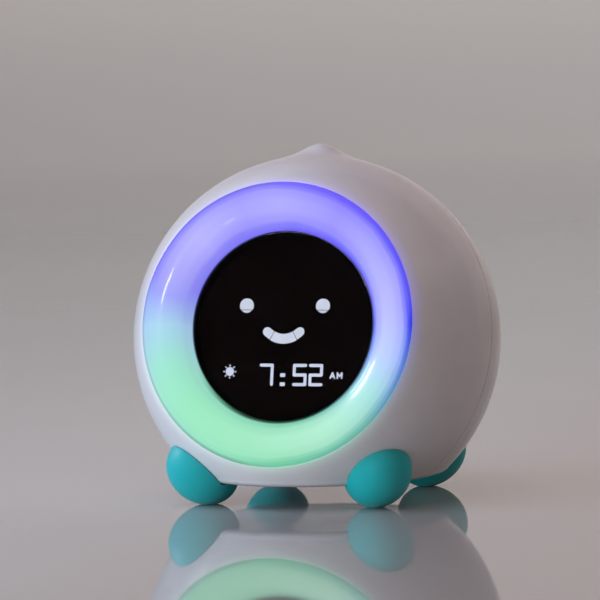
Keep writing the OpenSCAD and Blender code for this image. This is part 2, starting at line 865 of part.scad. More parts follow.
module power_inlet() {
    color(STEEL) on_face() translate([inlet_x, inlet_y, panel_z + inlet_recess]) {
        difference() {
            oval(inlet_w, inlet_h, 0, inlet_depth);
            oval(inlet_w - 2 * inlet_shell, inlet_h - 2 * inlet_shell, -1, inlet_depth - 1);
        }
        translate([-inlet_blade_w / 2, -inlet_blade_t / 2, inlet_depth - inlet_blade_l])
            cube([inlet_blade_w, inlet_blade_t, inlet_blade_l - 0.5]);
    }
}

module inlet_board() {
    color(BOARD_GREEN) on_face()
        translate([inlet_x - inlet_board_w / 2, inlet_board_y(), panel_in])
            cube([inlet_board_w, inlet_board_t, inlet_board_d]);
}

module speaker_gasket() {
    color(BLACK) on_face() translate([0, speaker_y, 0])
        ring_plate(rim_in, speaker_r, panel_in, panel_in + gasket_t);
}

module speaker_frame() {
    z0 = panel_in + gasket_t;
    color("dimgray") on_face() translate([0, speaker_y, z0]) difference() {
        rotate_extrude() polygon([
            [rim_in, 0], [speaker_r, 0], [speaker_r, rim_t], [rim_in + 0.6, rim_t],
            [basket_r + basket_wall, basket_h - 1.4], [basket_r + basket_wall, basket_h],
            [0, basket_h], [0, basket_h - basket_wall], [basket_r, basket_h - basket_wall],
            [basket_r, basket_h - 1.6], [rim_in, 1.4]]);
        for (a = [0 : 60 : 300]) rotate([0, 0, a])
            translate([basket_r + 0.3, -1.2, 2]) cube([speaker_r, 2.4, basket_h - 4.2]);
    }
}

module speaker_magnet() {
    z0 = panel_in + gasket_t + basket_h;
    color("silver") on_face() translate([0, speaker_y, 0]) disc(magnet_r, z0, z0 + magnet_h);
}

module speaker_cone() {
    z0 = panel_in + gasket_t;
    color("darkslategray") on_face() translate([0, speaker_y, z0]) rotate_extrude() polygon([
        [0, 3.4], [2.6, 4], [rim_in - 0.4, 0.4], [rim_in - 0.15, 0.4], [rim_in - 0.15, 0.9],
        [3, 4.9], [3, basket_h - basket_wall - 0.2], [2.4, basket_h - basket_wall - 0.2],
        [2.4, 4.6], [0, 4]]);
}

module lead(points, r) {
    for (i = [0 : len(points) - 2]) {
        p = points[i];
        d = points[i + 1] - p;
        translate(p) rotate([0, acos(d[2] / norm(d)), atan2(d[1], d[0])])
            cylinder(r = r, h = norm(d));
        if (i > 0) translate(p) sphere(r = r * 1.02);
    }
}

lead_r = 0.6;
module speaker_leads() {
    z0 = panel_in + gasket_t + basket_h + 0.05;
    z1 = main_back - socket_h;
    y0 = speaker_y - magnet_r - lead_r - 0.05;
    y1 = main_y - socket_y;
    color("firebrick") on_face() for (side = [-1, 1])
        lead([for (p = [[y0, z0], [y0, z0 + 9], [y1 - 3, z1 - 8], [y1, z1 - 4], [y1, z1]])
            [side * 2 * lead_r, p[0], p[1]]], lead_r);
}

module button_board() {
    color(BOARD_GREEN) on_face() difference() {
        translate([-button_board_w / 2, button_mid_y - button_board_h / 2, button_board_back])
            cube([button_board_w, button_board_h, board_t]);
        for (side = [-1, 1]) translate([side * button_post_x, button_mid_y, 0])
            disc(small_pilot_r + pass_gap, button_board_back - 1, button_board_back + board_t + 1);
    }
}

module switch_bodies() {
    color("gray") on_face() for (b = BUTTONS) at_button(b) difference() {
        translate([-switch_w / 2, -switch_w / 2, switch_back]) cube([switch_w, switch_w, switch_t]);
        disc(plunger_r + cap_gap, switch_back - 1, switch_back + plunger_in + cap_travel + cap_gap);
    }
}

// Flat ribbon from the button board to the main board, in a gentle S
ribbon_w = 12;
ribbon_t = 0.4;
module button_ribbon() {
    z0 = button_board_back + board_t;
    z1 = main_back - socket_h;
    y0 = button_mid_y;
    y1 = main_y + socket_y;
    steps = 10;
    path = [for (i = [0 : steps]) let (s = i / steps)
        [y0 + (y1 - y0) * (1 - cos(180 * s)) / 2, z0 + (z1 - z0) * s]];
    color("lightgray") on_face() translate([-ribbon_w / 2, 0, 0]) rotate([90, 0, 90])
        linear_extrude(ribbon_w) polygon(concat(
            [for (p = path) p - [ribbon_t / 2, 0]],
            [for (i = [steps : -1 : 0]) path[i] + [ribbon_t / 2, 0]]));
}

// Raised marks on the caps, drawn over a circle of radius 1
module cap_icon(i) {
    if (i == 0) { circle(r = 0.4); for (a = [0 : 45 : 315]) rotate(a) bar(0.6, 0.95, 0.16); }
    if (i == 1) { for (x = [-0.5, 0, 0.5]) translate([x, 0])
                    square([0.2, x == 0 ? 1.3 : 0.8], center = true); }
    if (i == 2) { difference() { circle(r = 0.8); circle(r = 0.62); }
                  rotate(90) bar(-0.1, 0.5, 0.16); bar(-0.08, 0.4, 0.16); }
    if (i == 3) { difference() { circle(r = 0.75); translate([0.35, 0.25]) circle(r = 0.62); } }
    if (i == 4) { for (a = [0, 90]) rotate(a) bar(-0.7, 0.7, 0.24); }
    if (i == 5) bar(-0.7, 0.7, 0.24);
}
module bar(x0, x1, w) { translate([x0, -w / 2]) square([x1 - x0, w]); }

module button(i) {
    color(TEAL) on_face() at_button(BUTTONS[i]) {
        disc(cap_r, panel_z - cap_proud + 0.5, flange_back + overlap);
        translate([0, 0, panel_z - cap_proud]) cylinder(r1 = cap_r - 0.5, r2 = cap_r, h = 0.501);
        disc(cap_flange_r, flange_back, stem_back);
        mirror([1, 0, 0]) translate([0, 0, panel_z - cap_proud - icon_h])
            linear_extrude(icon_h + 0.2) scale(cap_r * 0.62) cap_icon(i);
    }
}

module plunger(i) {
    color("dimgray") on_face() at_button(BUTTONS[i])
        disc(plunger_r, stem_back, switch_back + plunger_in);
}

module lamp_button() { button(0); }
module sound_button() { button(1); }
module clock_button() { button(2); }
module alarm_button() { button(3); }
module plus_button() { button(4); }
module minus_button() { button(5); }
module lamp_plunger() { plunger(0); }
module sound_plunger() { plunger(1); }
module clock_plunger() { plunger(2); }
module alarm_plunger() { plunger(3); }
module plus_plunger() { plunger(4); }
module minus_plunger() { plunger(5); }

door_lift = 0.03;
module battery_door() {
    color(SHELL_WHITE) difference() {
        translate([-door_w / 2, door_y - door_d / 2, belly_gap])
            cube([door_w, door_d, door_t - door_lift]);
        translate([door_screw_x, door_y, belly_gap - 1]) {
            cylinder(r = small_pilot_r + pass_gap, h = door_t + 2);
            cylinder(r = small_head_r + 0.25, h = 1 + door_t / 2);
        }
        for (y = [-6 : 3 : 6]) translate([-door_w / 2 + 3, door_y + y - 0.4, belly_gap - 1])
            cube([5, 0.8, 1.3]);
    }
}

module battery_door_screw() {
    color(STEEL) translate([door_screw_x, door_y, belly_gap + door_t / 2])
        screw(small_screw_r, door_boss_h, small_head_r, door_t / 2 - 0.1);
}

module cell_holder() {
    w = 2 * (cell_room + holder_wall);
    color(BLACK) difference() {
        translate([cell_x - w / 2, door_y - w / 2, floor_z]) cube([w, w, holder_h]);
        translate([cell_x, door_y, floor_z - 1]) cylinder(r = cell_r + 0.25, h = cell_t + 1.6);
    }
}

module coin_cell() {
    color(STEEL) translate([cell_x, door_y, cell_z]) {
        cylinder(r = cell_r, h = cell_t - 0.6);
        translate([0, 0, 0.3]) cylinder(r = cell_r - 1.4, h = cell_t - 0.3);
    }
}

// An egg on its own +Z axis, with its fatter end up
module egg() {
    rotate_extrude() polygon(concat(
        [[0, -foot_half]],
        [for (i = [1 : foot_steps - 1]) let (s = -cos(180 * i / foot_steps))
            [foot_r * sqrt((1 - s * s) * (1 + foot_fat * s)), foot_half * s]],
        [[0, foot_half]]));
}

// A foot: the egg with its flat underneath, hollowed to the ball, and its peg
module foot(spread, side, rear) {
    turn = rear ? 90 - side * spread : -90 + side * spread;
    color(TEAL) difference() {
        union() {
            difference() {
                intersection() {
                    translate([foot_out * cos(turn), ball_y + foot_out * sin(turn), foot_z])
                        rotate([0, 90 - foot_rise, turn]) egg();
                    translate([-room, -room, 0]) cube(2 * room);
                }
                ball_solid(-foot_gap);
            }
            toward_foot(spread, side, rear) disc(peg_r, peg_seat, peg_root);
        }
        toward_foot(spread, side, rear) disc(pilot_r, peg_seat - 1, peg_root - 1);
    }
}
module front_left_foot() { foot(front_spread, -1, false); }
module front_right_foot() { mirror([1, 0, 0]) foot(front_spread, -1, false); }
module rear_left_foot() { foot(rear_spread, -1, true); }
module rear_right_foot() { mirror([1, 0, 0]) foot(rear_spread, -1, true); }

module foot_screws() {
    color(STEEL) for (side = [-1, 1]) {
        toward_foot(front_spread, side, false)
            translate([0, 0, peg_seat]) screw(screw_r, peg_screw, peg_head_r, head_t);
        toward_foot(rear_spread, side, true)
            translate([0, 0, peg_seat]) screw(screw_r, peg_screw, peg_head_r, head_t);
    }
}

module shell_screws() {
    color(STEEL) on_face() around(shell_angles, shell_screw_at)
        translate([0, 0, seat_z - seat_t]) screw(screw_r, seat_t + shell_bite, head_r, head_t);
}

front_shell();
rear_shell();
light_ring();
display_lens();
lens_tape();
icon_mask();
eye_windows();
smile_windows();
digit_windows();
colon_windows();
sun_window();
am_windows();
diffuser_film();
light_box();
display_board();
display_lamps();
ring_reflector();
ring_board();
ring_lamp_chips();
front_carrier();
carrier_screws();
main_board();
board_screws();
processor();
audio_chip();
crystal_can();
capacitors();
board_sockets();
power_inlet();
inlet_board();
speaker_frame();
speaker_magnet();
speaker_cone();
speaker_gasket();
speaker_leads();
button_board();
switch_bodies();
button_ribbon();
lamp_button();
sound_button();
clock_button();
alarm_button();
plus_button();
minus_button();
lamp_plunger();
sound_plunger();
clock_plunger();
alarm_plunger();
plus_plunger();
minus_plunger();
battery_door();
battery_door_screw();
cell_holder();
coin_cell();
front_left_foot();
front_right_foot();
rear_left_foot();
rear_right_foot();
foot_screws();
shell_screws();
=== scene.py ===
"""Looks of a round bedside alarm clock with a glowing ring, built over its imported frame.

All sizes are millimetres in the classes' fields and metres in the meshes. The face's own frame has
+Z out of the face, +Y up it and its origin at the ball's centre.
"""

import logging
import math
from dataclasses import dataclass, field
from enum import Enum

import bmesh
import bpy
import numpy as np
from mathutils import Matrix, Vector
from mathutils.geometry import delaunay_2d_cdt


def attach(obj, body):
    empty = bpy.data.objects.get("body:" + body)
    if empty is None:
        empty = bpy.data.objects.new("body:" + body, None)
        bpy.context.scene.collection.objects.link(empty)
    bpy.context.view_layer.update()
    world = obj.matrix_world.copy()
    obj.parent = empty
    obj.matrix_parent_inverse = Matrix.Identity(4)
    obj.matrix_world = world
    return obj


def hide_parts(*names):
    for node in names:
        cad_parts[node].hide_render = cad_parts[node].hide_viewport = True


LOG = logging.getLogger("clock")
MM = 0.001
WELD = 1e-7
SMOOTH_ANGLE = math.radians(32.0)
KEYS = ("lamp", "sound", "clock", "alarm", "plus", "minus")

Piece = bpy.types.Object
Material = bpy.types.Material
Socket = bpy.types.NodeSocket
Triple = tuple[float, float, float]
HueStops = tuple[tuple[float, Triple], ...]

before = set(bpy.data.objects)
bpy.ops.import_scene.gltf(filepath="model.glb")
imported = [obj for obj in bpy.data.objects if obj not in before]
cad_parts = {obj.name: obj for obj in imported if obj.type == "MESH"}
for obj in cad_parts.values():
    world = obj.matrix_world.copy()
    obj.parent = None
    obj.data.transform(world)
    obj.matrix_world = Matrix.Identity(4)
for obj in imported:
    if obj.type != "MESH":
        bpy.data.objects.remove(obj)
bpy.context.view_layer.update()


# ---------------------------------------------------------------------------------------------
# Meshes from arrays


def full_turn(steps: int) -> np.ndarray:
    """Evenly spaced angles of a full turn, in radians."""
    return np.linspace(0, 2 * np.pi, steps, endpoint=False)


def grid_quads(rows: int, columns: int, close_rows: bool, close_columns: bool) -> np.ndarray:
    """Quads over a grid of points that is stored row by row.

    Args:
        rows: How many rows of points.
        columns: How many points in a row.
        close_rows: Whether the last row joins the first.
        close_columns: Whether the last column joins the first.

    Returns:
        Indices of shape (n, 4).
    """
    i = np.arange(rows if close_rows else rows - 1)[:, None]
    j = np.arange(columns if close_columns else columns - 1)[None, :]
    here, below = i * columns, (i + 1) % rows * columns
    right = (j + 1) % columns
    quads = np.stack([here + j, here + right, below + right, below + j], axis=-1)
    return quads.reshape(-1, 4)


def stack_faces(rows: int, columns: int) -> list[np.ndarray]:
    """Faces of a stack of loops: quads between them and one flat cap at each end."""
    loop = np.arange(columns)[None]
    return [grid_quads(rows, columns, False, True), loop[:, ::-1], (rows - 1) * columns + loop]


def bridge(outer: np.ndarray, inner: np.ndarray) -> np.ndarray:
    """Quads between two loops of equally many points, given as arrays of indices."""
    return np.stack([outer, np.roll(outer, -1), np.roll(inner, -1), inner], axis=-1)


def make_piece(
    name: str, points: np.ndarray, faces: list[np.ndarray], weld: float = WELD
) -> Piece:
    """Puts points and faces into a new closed piece that sits at the origin.

    Args:
        name: The piece's name.
        points: Points of shape (n, 3) in millimetres.
        faces: Arrays of indices, one for each number of corners.
        weld: Distance in metres under which points are merged.

    Returns:
        The piece, welded, facing outwards and smooth up to SMOOTH_ANGLE.
    """
    mesh = bpy.data.meshes.new(name)
    loops = np.concatenate([f.ravel() for f in faces]).astype(np.int32)
    sizes = np.concatenate([np.full(len(f), f.shape[1], np.int32) for f in faces])
    starts = np.concatenate([[0], np.cumsum(sizes)[:-1]]).astype(np.int32)
    mesh.vertices.add(len(points))
    mesh.vertices.foreach_set("co", (np.asarray(points, float) * MM).astype(np.float32).ravel())
    mesh.loops.add(len(loops))
    mesh.loops.foreach_set("vertex_index", loops)
    mesh.polygons.add(len(sizes))
    mesh.polygons.foreach_set("loop_start", starts)
    mesh.update(calc_edges=True)
    mesh.validate()
    piece = bpy.data.objects.new(name, mesh)
    bpy.context.scene.collection.objects.link(piece)
    tidy_mesh(mesh, weld)
    return piece


def tidy_mesh(mesh: bpy.types.Mesh, weld: float) -> None:
    """Welds a mesh, turns its faces outwards and marks the edges that stay sharp.

    Args:
        mesh: The mesh to tidy.
        weld: Distance in metres under which points are merged.
    """
    work = bmesh.new()
    work.from_mesh(mesh)
    bmesh.ops.remove_doubles(work, verts=work.verts, dist=weld)
    bmesh.ops.dissolve_degenerate(work, edges=work.edges, dist=weld)
    bmesh.ops.recalc_face_normals(work, faces=work.faces)
    work.to_mesh(mesh)
    work.free()
    mesh.polygons.foreach_set("use_smooth", np.ones(len(mesh.polygons), bool))
    mesh.set_sharp_from_angle(angle=SMOOTH_ANGLE)


def lathe(profile: np.ndarray, steps: int) -> tuple[np.ndarray, np.ndarray]:
    """Turns a closed profile about +Z: point (r, z) goes to (r cos a, r sin a, z) for every a.

    Args:
        profile: Points (r, z) of shape (n, 2), a closed loop.
        steps: Angles in a full turn.

    Returns:
        Points of shape (n * steps, 3) and their quads.
    """
    a = full_turn(steps)
    r, z = profile[:, 0][:, None], profile[:, 1][:, None]
    points = np.stack([r * np.cos(a), r * np.sin(a), z + 0 * a], axis=-1).reshape(-1, 3)
    return points, grid_quads(len(profile), steps, True, True)


def round_corners(corners: np.ndarray, radii: np.ndarray, steps: int = 6) -> np.ndarray:
    """Rounds the corners of a closed profile.

    Each corner becomes a quadratic curve between the points a radius away from it along both its
    sides.

    Args:
        corners: Points of shape (n, 2).
        radii: Reach of each rounding, with 0 for a sharp corner.
        steps: Points of each curve, less one.

    Returns:
        The rounded profile's points.
    """
    before, after = np.roll(corners, 1, axis=0), np.roll(corners, -1, axis=0)
    t = np.linspace(0, 1, steps + 1)[:, None]
    rows = []
    for p, corner, n, r in zip(before, corners, after, radii):
        if r <= 0:
            rows.append(corner[None])
            continue
        a = corner + (p - corner) / np.linalg.norm(p - corner) * r
        b = corner + (n - corner) / np.linalg.norm(n - corner) * r
        rows.append((1 - t) ** 2 * a + 2 * t * (1 - t) * corner + t**2 * b)
    return np.concatenate(rows)


class Carving(Enum):
    """What a tool does to a piece."""

    CUT = "DIFFERENCE"
    JOIN = "UNION"


def carve(piece: Piece, tool: Piece, how: Carving) -> None:
    """Cuts a closed tool out of a piece, or joins it on, and removes the tool.

    Args:
        piece: The piece that is changed.
        tool: A closed mesh.
        how: Whether to cut or to join.
    """
    step = piece.modifiers.new("carve", "BOOLEAN")
    step.operation, step.object, step.solver = how.value, tool, "EXACT"
    seen = piece.evaluated_get(bpy.context.evaluated_depsgraph_get())
    mesh = bpy.data.meshes.new_from_object(seen)
    piece.modifiers.clear()
    old, piece.data = piece.data, mesh
    mesh.name = piece.name
    bpy.data.meshes.remove(old)
    bpy.data.meshes.remove(tool.data)
    tidy_mesh(mesh, WELD)


@dataclass
class Patches:
    """Points and faces that are gathered patch by patch into one mesh."""

    points: list[np.ndarray] = field(default_factory=list)
    faces: list[np.ndarray] = field(default_factory=list)
    count: int = 0

    def add(self, points: np.ndarray, faces: np.ndarray) -> None:
        """Adds a patch.

        Args:
            points: Its points of shape (n, 3).
            faces: Its faces, which count from its own first point.
        """
        self.points.append(points)
        self.faces.append(faces + self.count)
        self.count += len(points)


# ---------------------------------------------------------------------------------------------
# The face's frame and the ball's form


@dataclass(frozen=True)
class FaceFrame:
    """Where the face stands: it leans back, and its frame starts at the ball's centre."""

    tilt: float = 12.0
    ball_y: float = -5.3507
    ball_z: float = 56.4298

    def axes(self) -> np.ndarray:
        """The face's X, Y and Z as rows, in the row frame."""
        t = math.radians(90.0 - self.tilt)
        return np.array([[1, 0, 0], [0, math.cos(t), math.sin(t)], [0, -math.sin(t), math.cos(t)]])

    def centre(self) -> np.ndarray:
        """The ball's centre in the row frame."""
        return np.array([0.0, self.ball_y, self.ball_z])

    def world(self, points: np.ndarray) -> np.ndarray:
        """Points of the face's frame, in the row frame."""
        return points @ self.axes() + self.centre()


def soft_min(a: np.ndarray, b: np.ndarray, width: float) -> np.ndarray:
    """The lesser of a and b, with a quadratic blend where they differ by less than width."""
    h = np.clip(0.5 + 0.5 * (b - a) / width, 0, 1)
    return b + (a - b) * h - width * h * (1 - h) * 0.5


@dataclass(frozen=True)
class BallForm:
    """The ball, with its belly and its back cut flat, and the little peak on its top.

    shallow is the least cosine that a flat's distance is divided by, and the rounds say how often
    an angle is substituted until it fits a height or a radius.
    """

    place: FaceFrame = FaceFrame()
    radius: float = 65.5
    belly: float = 48.4298
    belly_ease: float = 3.0
    panel: float = 58.0185
    panel_ease: float = 0.7
    peak_height: float = 4.15
    peak_spread: float = 7.5
    peak_lean: float = 7.6
    shallow: float = 0.05
    height_rounds: int = 12
    radius_rounds: int = 24

    def reach(
        self, way: np.ndarray, inset: np.ndarray | float = 0.0, peak: bool = True
    ) -> np.ndarray:
        """Distance from the ball's centre to its surface.

        It is the soft least of the sphere's radius and the distances to the two flats' planes, plus
        a peak of height h exp(-(off / spread)^2) at the distance off from its axis.

        Args:
            way: Unit directions in the face's frame, of shape (..., 3).
            inset: How far every face lies inwards.
            peak: Whether the peak counts.

        Returns:
            Distances of the shape of way without its last axis.
        """
        up = way @ (self.place.axes() @ np.array([0.0, 0.0, 1.0]))
        r = np.broadcast_to(self.radius - inset, up.shape)
        r = soft_min(r, (self.belly - inset) / np.maximum(-up, self.shallow), self.belly_ease)
        back = np.maximum(-way[..., 2], self.shallow)
        r = soft_min(r, (self.panel - inset) / back, self.panel_ease)
        if peak:
            lean = math.radians(self.peak_lean)
            axis = self.place.axes() @ np.array([0.0, math.sin(lean), math.cos(lean)])
            along = way @ axis
            off = self.radius * np.sqrt(np.clip(1 - along**2, 0, 1))
            bell = np.exp(-((off / self.peak_spread) ** 2))
            r = r + self.peak_height * bell * along * (along > 0)
        return r

    @staticmethod
    def ways(angle: np.ndarray, turn: np.ndarray) -> np.ndarray:
        """Unit directions at an angle from the face's +Z and a turn about it, as a grid."""
        s, c = np.sin(angle), np.cos(angle)
        return np.stack([s * np.cos(turn), s * np.sin(turn), c + 0 * turn], axis=-1)

    def at_angles(
        self, angle: np.ndarray, turn: np.ndarray, inset: float = 0.0, peak: bool = True
    ) -> np.ndarray:
        """Rows of surface points at given angles from the face's axis."""
        way = self.ways(angle[:, None], turn[None, :])
        return way * self.reach(way, inset, peak)[..., None]

    def at_heights(self, height: np.ndarray, inset: np.ndarray, turn: np.ndarray) -> np.ndarray:
        """Rows of surface points at given heights along the face's axis.

        The angle whose cosine is height over reach is found by repeated substitution.

        Args:
            height: Each row's height along the face's axis.
            inset: How far each row lies inwards.
            turn: The turns about the axis at which every row has a point.

        Returns:
            Points of shape (rows, turns, 3) in the face's frame.
        """
        height, inset, turn = height[:, None], inset[:, None], turn[None, :]
        angle = np.arccos(height / self.radius) + 0 * turn
        for _ in range(self.height_rounds):
            reach = self.reach(self.ways(angle, turn), inset)
            angle = np.arccos(np.clip(height / reach, -1, 1))
        way = self.ways(angle, turn)
        return way * self.reach(way, inset)[..., None]

    def at_radii(
        self, radius: np.ndarray, inset: np.ndarray, turn: np.ndarray, behind: bool
    ) -> np.ndarray:
        """Rows of surface points at given distances from the face's axis.

        The angle whose sine is radius over reach is found by repeated substitution.

        Args:
            radius: Each row's distance from the face's axis.
            inset: How far each row lies inwards.
            turn: The turns about the axis at which every row has a point.
            behind: Whether the rows lie on the ball's rear half.

        Returns:
            Points of shape (rows, turns, 3) in the face's frame.
        """
        radius, inset, turn = radius[:, None], inset[:, None], turn[None, :]
        angle = np.arcsin(radius / self.radius) + 0 * turn
        for _ in range(self.radius_rounds):
            reach = self.reach(self.ways(np.pi - angle if behind else angle, turn), inset)
            angle = np.arcsin(np.clip(radius / reach, -1, 1))
        way = self.ways(np.pi - angle if behind else angle, turn)
        return way * self.reach(way, inset)[..., None]


# ---------------------------------------------------------------------------------------------
# Finishes


def linear(colour: Triple) -> Triple:
    """Scene-linear values of an sRGB colour in 0..255.

    Args:
        colour: Red, green and blue.

    Returns:
        c / 12.92 up to 0.04045, and ((c + 0.055) / 1.055)^2.4 above it, for c of 0..1.
    """
    c = np.asarray(colour, float) / 255
    out = np.where(c <= 0.04045, c / 12.92, ((c + 0.055) / 1.055) ** 2.4)
    return tuple(float(x) for x in out)


def darker(colour: Triple, share: float) -> Triple:
    """A colour with each of its values times a share."""
    return tuple(share * c for c in colour)


class Recipe:
    """A node material while it is written."""

    def __init__(self, name: str) -> None:
        """Starts an empty material with an output and a Principled shader.

        Args:
            name: The material's name.
        """
        self.material = bpy.data.materials.new(name)
        self.material.use_nodes = True
        self.tree = self.material.node_tree
        self.tree.nodes.clear()
        self.out = self.node("ShaderNodeOutputMaterial")
        self.shader = self.node("ShaderNodeBsdfPrincipled")
        self.join(self.shader.outputs["BSDF"], self.out.inputs["Surface"])

    def node(self, kind: str, **settings: object) -> bpy.types.Node:
        """A new node.

        Args:
            kind: Its type.
            **settings: Its own settings.

        Returns:
            The node.
        """
        made = self.tree.nodes.new(kind)
        for key, value in settings.items():
            setattr(made, key, value)
        return made

    def join(self, a: Socket, b: Socket) -> None:
        """Links an output to an input."""
        self.tree.links.new(a, b)

    def put(self, socket: str, value: object) -> None:
        """Sets one of the shader's own sockets."""
        self.shader.inputs[socket].default_value = value

    def feed(self, socket: str, source: Socket) -> None:
        """Links an output to one of the shader's own sockets."""
        self.join(source, self.shader.inputs[socket])

    def spot(self, scale: Triple = (1, 1, 1)) -> Socket:
        """Object coordinates in metres.

        Args:
            scale: How much they are stretched along each axis.

        Returns:
            Their socket.
        """
        where = self.node("ShaderNodeTexCoord").outputs["Object"]
        if scale == (1, 1, 1):
            return where
        mapping = self.node("ShaderNodeMapping")
        mapping.inputs["Scale"].default_value = scale
        self.join(where, mapping.inputs["Vector"])
        return mapping.outputs["Vector"]

    def face_spot(self, place: FaceFrame) -> Socket:
        """Object coordinates turned into the face's frame.

        Args:
            place: The face's frame.

        Returns:
            Their socket.
        """
        mapping = self.node("ShaderNodeMapping", vector_type="TEXTURE")
        mapping.inputs["Location"].default_value = tuple(place.centre() * MM)
        mapping.inputs["Rotation"].default_value = (math.radians(90 - place.tilt), 0, 0)
        self.join(self.spot(), mapping.inputs["Vector"])
        return mapping.outputs["Vector"]

    def split(self, where: Socket) -> list[Socket]:
        """The X, Y and Z of a vector.

        Args:
            where: The vector.

        Returns:
            Three sockets.
        """
        parts = self.node("ShaderNodeSeparateXYZ")
        self.join(where, parts.inputs[0])
        return list(parts.outputs)

    def texture(
        self, kind: str, where: Socket, sizes: dict[str, float], **settings: object
    ) -> bpy.types.Node:
        """A texture node.

        Args:
            kind: Its type.
            where: The coordinates that it reads.
            sizes: Values of its inputs.
            **settings: Its own settings.

        Returns:
            The node.
        """
        made = self.node(kind, **settings)
        for key, value in sizes.items():
            made.inputs[key].default_value = value
        self.join(where, made.inputs["Vector"])
        return made

    def noise(self, where: Socket, scale: float, detail: float) -> Socket:
        """Noise with so many waves a metre, mostly of 0.3 to 0.7."""
        sizes = {"Scale": scale, "Detail": detail}
        return self.texture("ShaderNodeTexNoise", where, sizes).outputs["Fac"]

    def clouds(
        self,
        where: Socket,
        scale: float,
        detail: float,
        low: float = 0.0,
        high: float = 1.0,
        span: tuple[float, float] = (0.3, 0.7),
    ) -> Socket:
        """Noise whose usual span is spread from low to high."""
        return self.remap(self.noise(where, scale, detail), *span, low, high)

    def maths(self, how: str, a: object, b: object) -> Socket:
        """One arithmetic step.

        Args:
            how: The step's name.
            a: The first socket or number.
            b: The second socket or number.

        Returns:
            Its result.
        """
        made = self.node("ShaderNodeMath", operation=how)
        for socket, value in zip(made.inputs, (a, b)):
            if isinstance(value, Socket):
                self.join(value, socket)
            else:
                socket.default_value = value
        return made.outputs["Value"]

    def remap(
        self,
        value: Socket,
        low: float,
        high: float,
        to_low: float,
        to_high: float,
        smooth: bool = False,
    ) -> Socket:
        """Carries low..high over to to_low..to_high, clamped.

        Args:
            value: What is carried over.
            low: Where it starts.
            high: Where it ends.
            to_low: What low becomes.
            to_high: What high becomes.
            smooth: Whether it eases at both ends.

        Returns:
            The carried value.
        """
        way = "SMOOTHSTEP" if smooth else "LINEAR"
        made = self.node("ShaderNodeMapRange", interpolation_type=way)
        ends = {"From Min": low, "From Max": high, "To Min": to_low, "To Max": to_high}
        for key, number in ends.items():
            made.inputs[key].default_value = number
        self.join(value, made.inputs["Value"])
        return made.outputs["Result"]

    def stops(self, value: Socket, stops: list[tuple[float, Triple]], ease: bool) -> Socket:
        """Looks a value up between stops.

        Args:
            value: The value, 0 to 1.
            stops: Places and their scene-linear colours.
            ease: Whether it eases between the stops.

        Returns:
            The colour there.
        """
        made = self.node("ShaderNodeValToRGB")
        made.color_ramp.interpolation = "EASE" if ease else "LINEAR"
        points = made.color_ramp.elements
        while len(points) > 1:
            points.remove(points[-1])
        for n, (at, colour) in enumerate(stops):
            point = points[0] if n == 0 else points.new(at)
            point.position = at
            point.color = (*colour, 1)
        self.join(value, made.inputs["Fac"])
        return made.outputs["Color"]

    def hue(self, value: Socket, stops: HueStops) -> Socket:
        """Colour by a value, straight between stops in sRGB 0..255."""
        return self.stops(value, [(at, linear(colour)) for at, colour in stops], False)

    def level(self, value: Socket, stops: tuple[tuple[float, float], ...]) -> Socket:
        """A number by a value, eased between stops."""
        return self.stops(value, [(at, (number,) * 3) for at, number in stops], True)

    def mix(self, share: Socket | float, a: object, b: object, how: str = "MIX") -> Socket:
        """Mixes two colours.

        Args:
            share: How much of the second there is.
            a: The first, as a socket or sRGB 0..255.
            b: The second, in the same way.
            how: The kind of mix.

        Returns:
            The mixed colour.
        """
        made = self.node("ShaderNodeMix", data_type="RGBA", blend_type=how)
        for socket, value in zip((made.inputs[0], made.inputs[6], made.inputs[7]), (share, a, b)):
            if isinstance(value, Socket):
                self.join(value, socket)
            elif isinstance(value, (int, float)):
                socket.default_value = value
            else:
                socket.default_value = (*linear(value), 1)
        return made.outputs[2]

    def bump(self, height: Socket, strength: float, distance: float) -> None:
        """Bumps the shader's normal.

        Args:
            height: The relief.
            strength: How much of it shows.
            distance: Its depth in metres.
        """
        made = self.node("ShaderNodeBump")
        made.inputs["Strength"].default_value = strength
        made.inputs["Distance"].default_value = distance
        self.join(height, made.inputs["Height"])
        self.feed("Normal", made.outputs["Normal"])


@dataclass(frozen=True)
class MouldedPlastic:
    """Injection-moulded plastic: fine spark-eroded grain, slow flow marks in colour and gloss.

    sheen is its specular level, and bloom a faint haze of light at glancing angles.
    """

    name: str
    colour: Triple
    shade: Triple
    roughness: float = 0.45
    grain: float = 0.25
    coat: float = 0.0
    sheen: float = 0.5
    bloom: float = 0.0
    grain_scale: float = 2600.0
    uneven: float = 0.05

    def make(self) -> Material:
        """Writes the material.

        Returns:
            The material.
        """
        r = Recipe(self.name)
        where = r.spot()
        flow = r.clouds(where, 60, 3, span=(0.35, 0.65))
        r.feed("Base Color", r.mix(flow, self.colour, self.shade))
        low, high = self.roughness - self.uneven, self.roughness + self.uneven
        r.feed("Roughness", r.clouds(where, 350, 3, low, high))
        r.put("Coat Weight", self.coat)
        r.put("Coat Roughness", 0.2)
        r.put("Specular IOR Level", self.sheen)
        r.put("Sheen Weight", self.bloom)
        r.put("Sheen Roughness", 0.45)
        r.bump(r.noise(where, self.grain_scale, 2), self.grain, 0.00004)
        return r.material


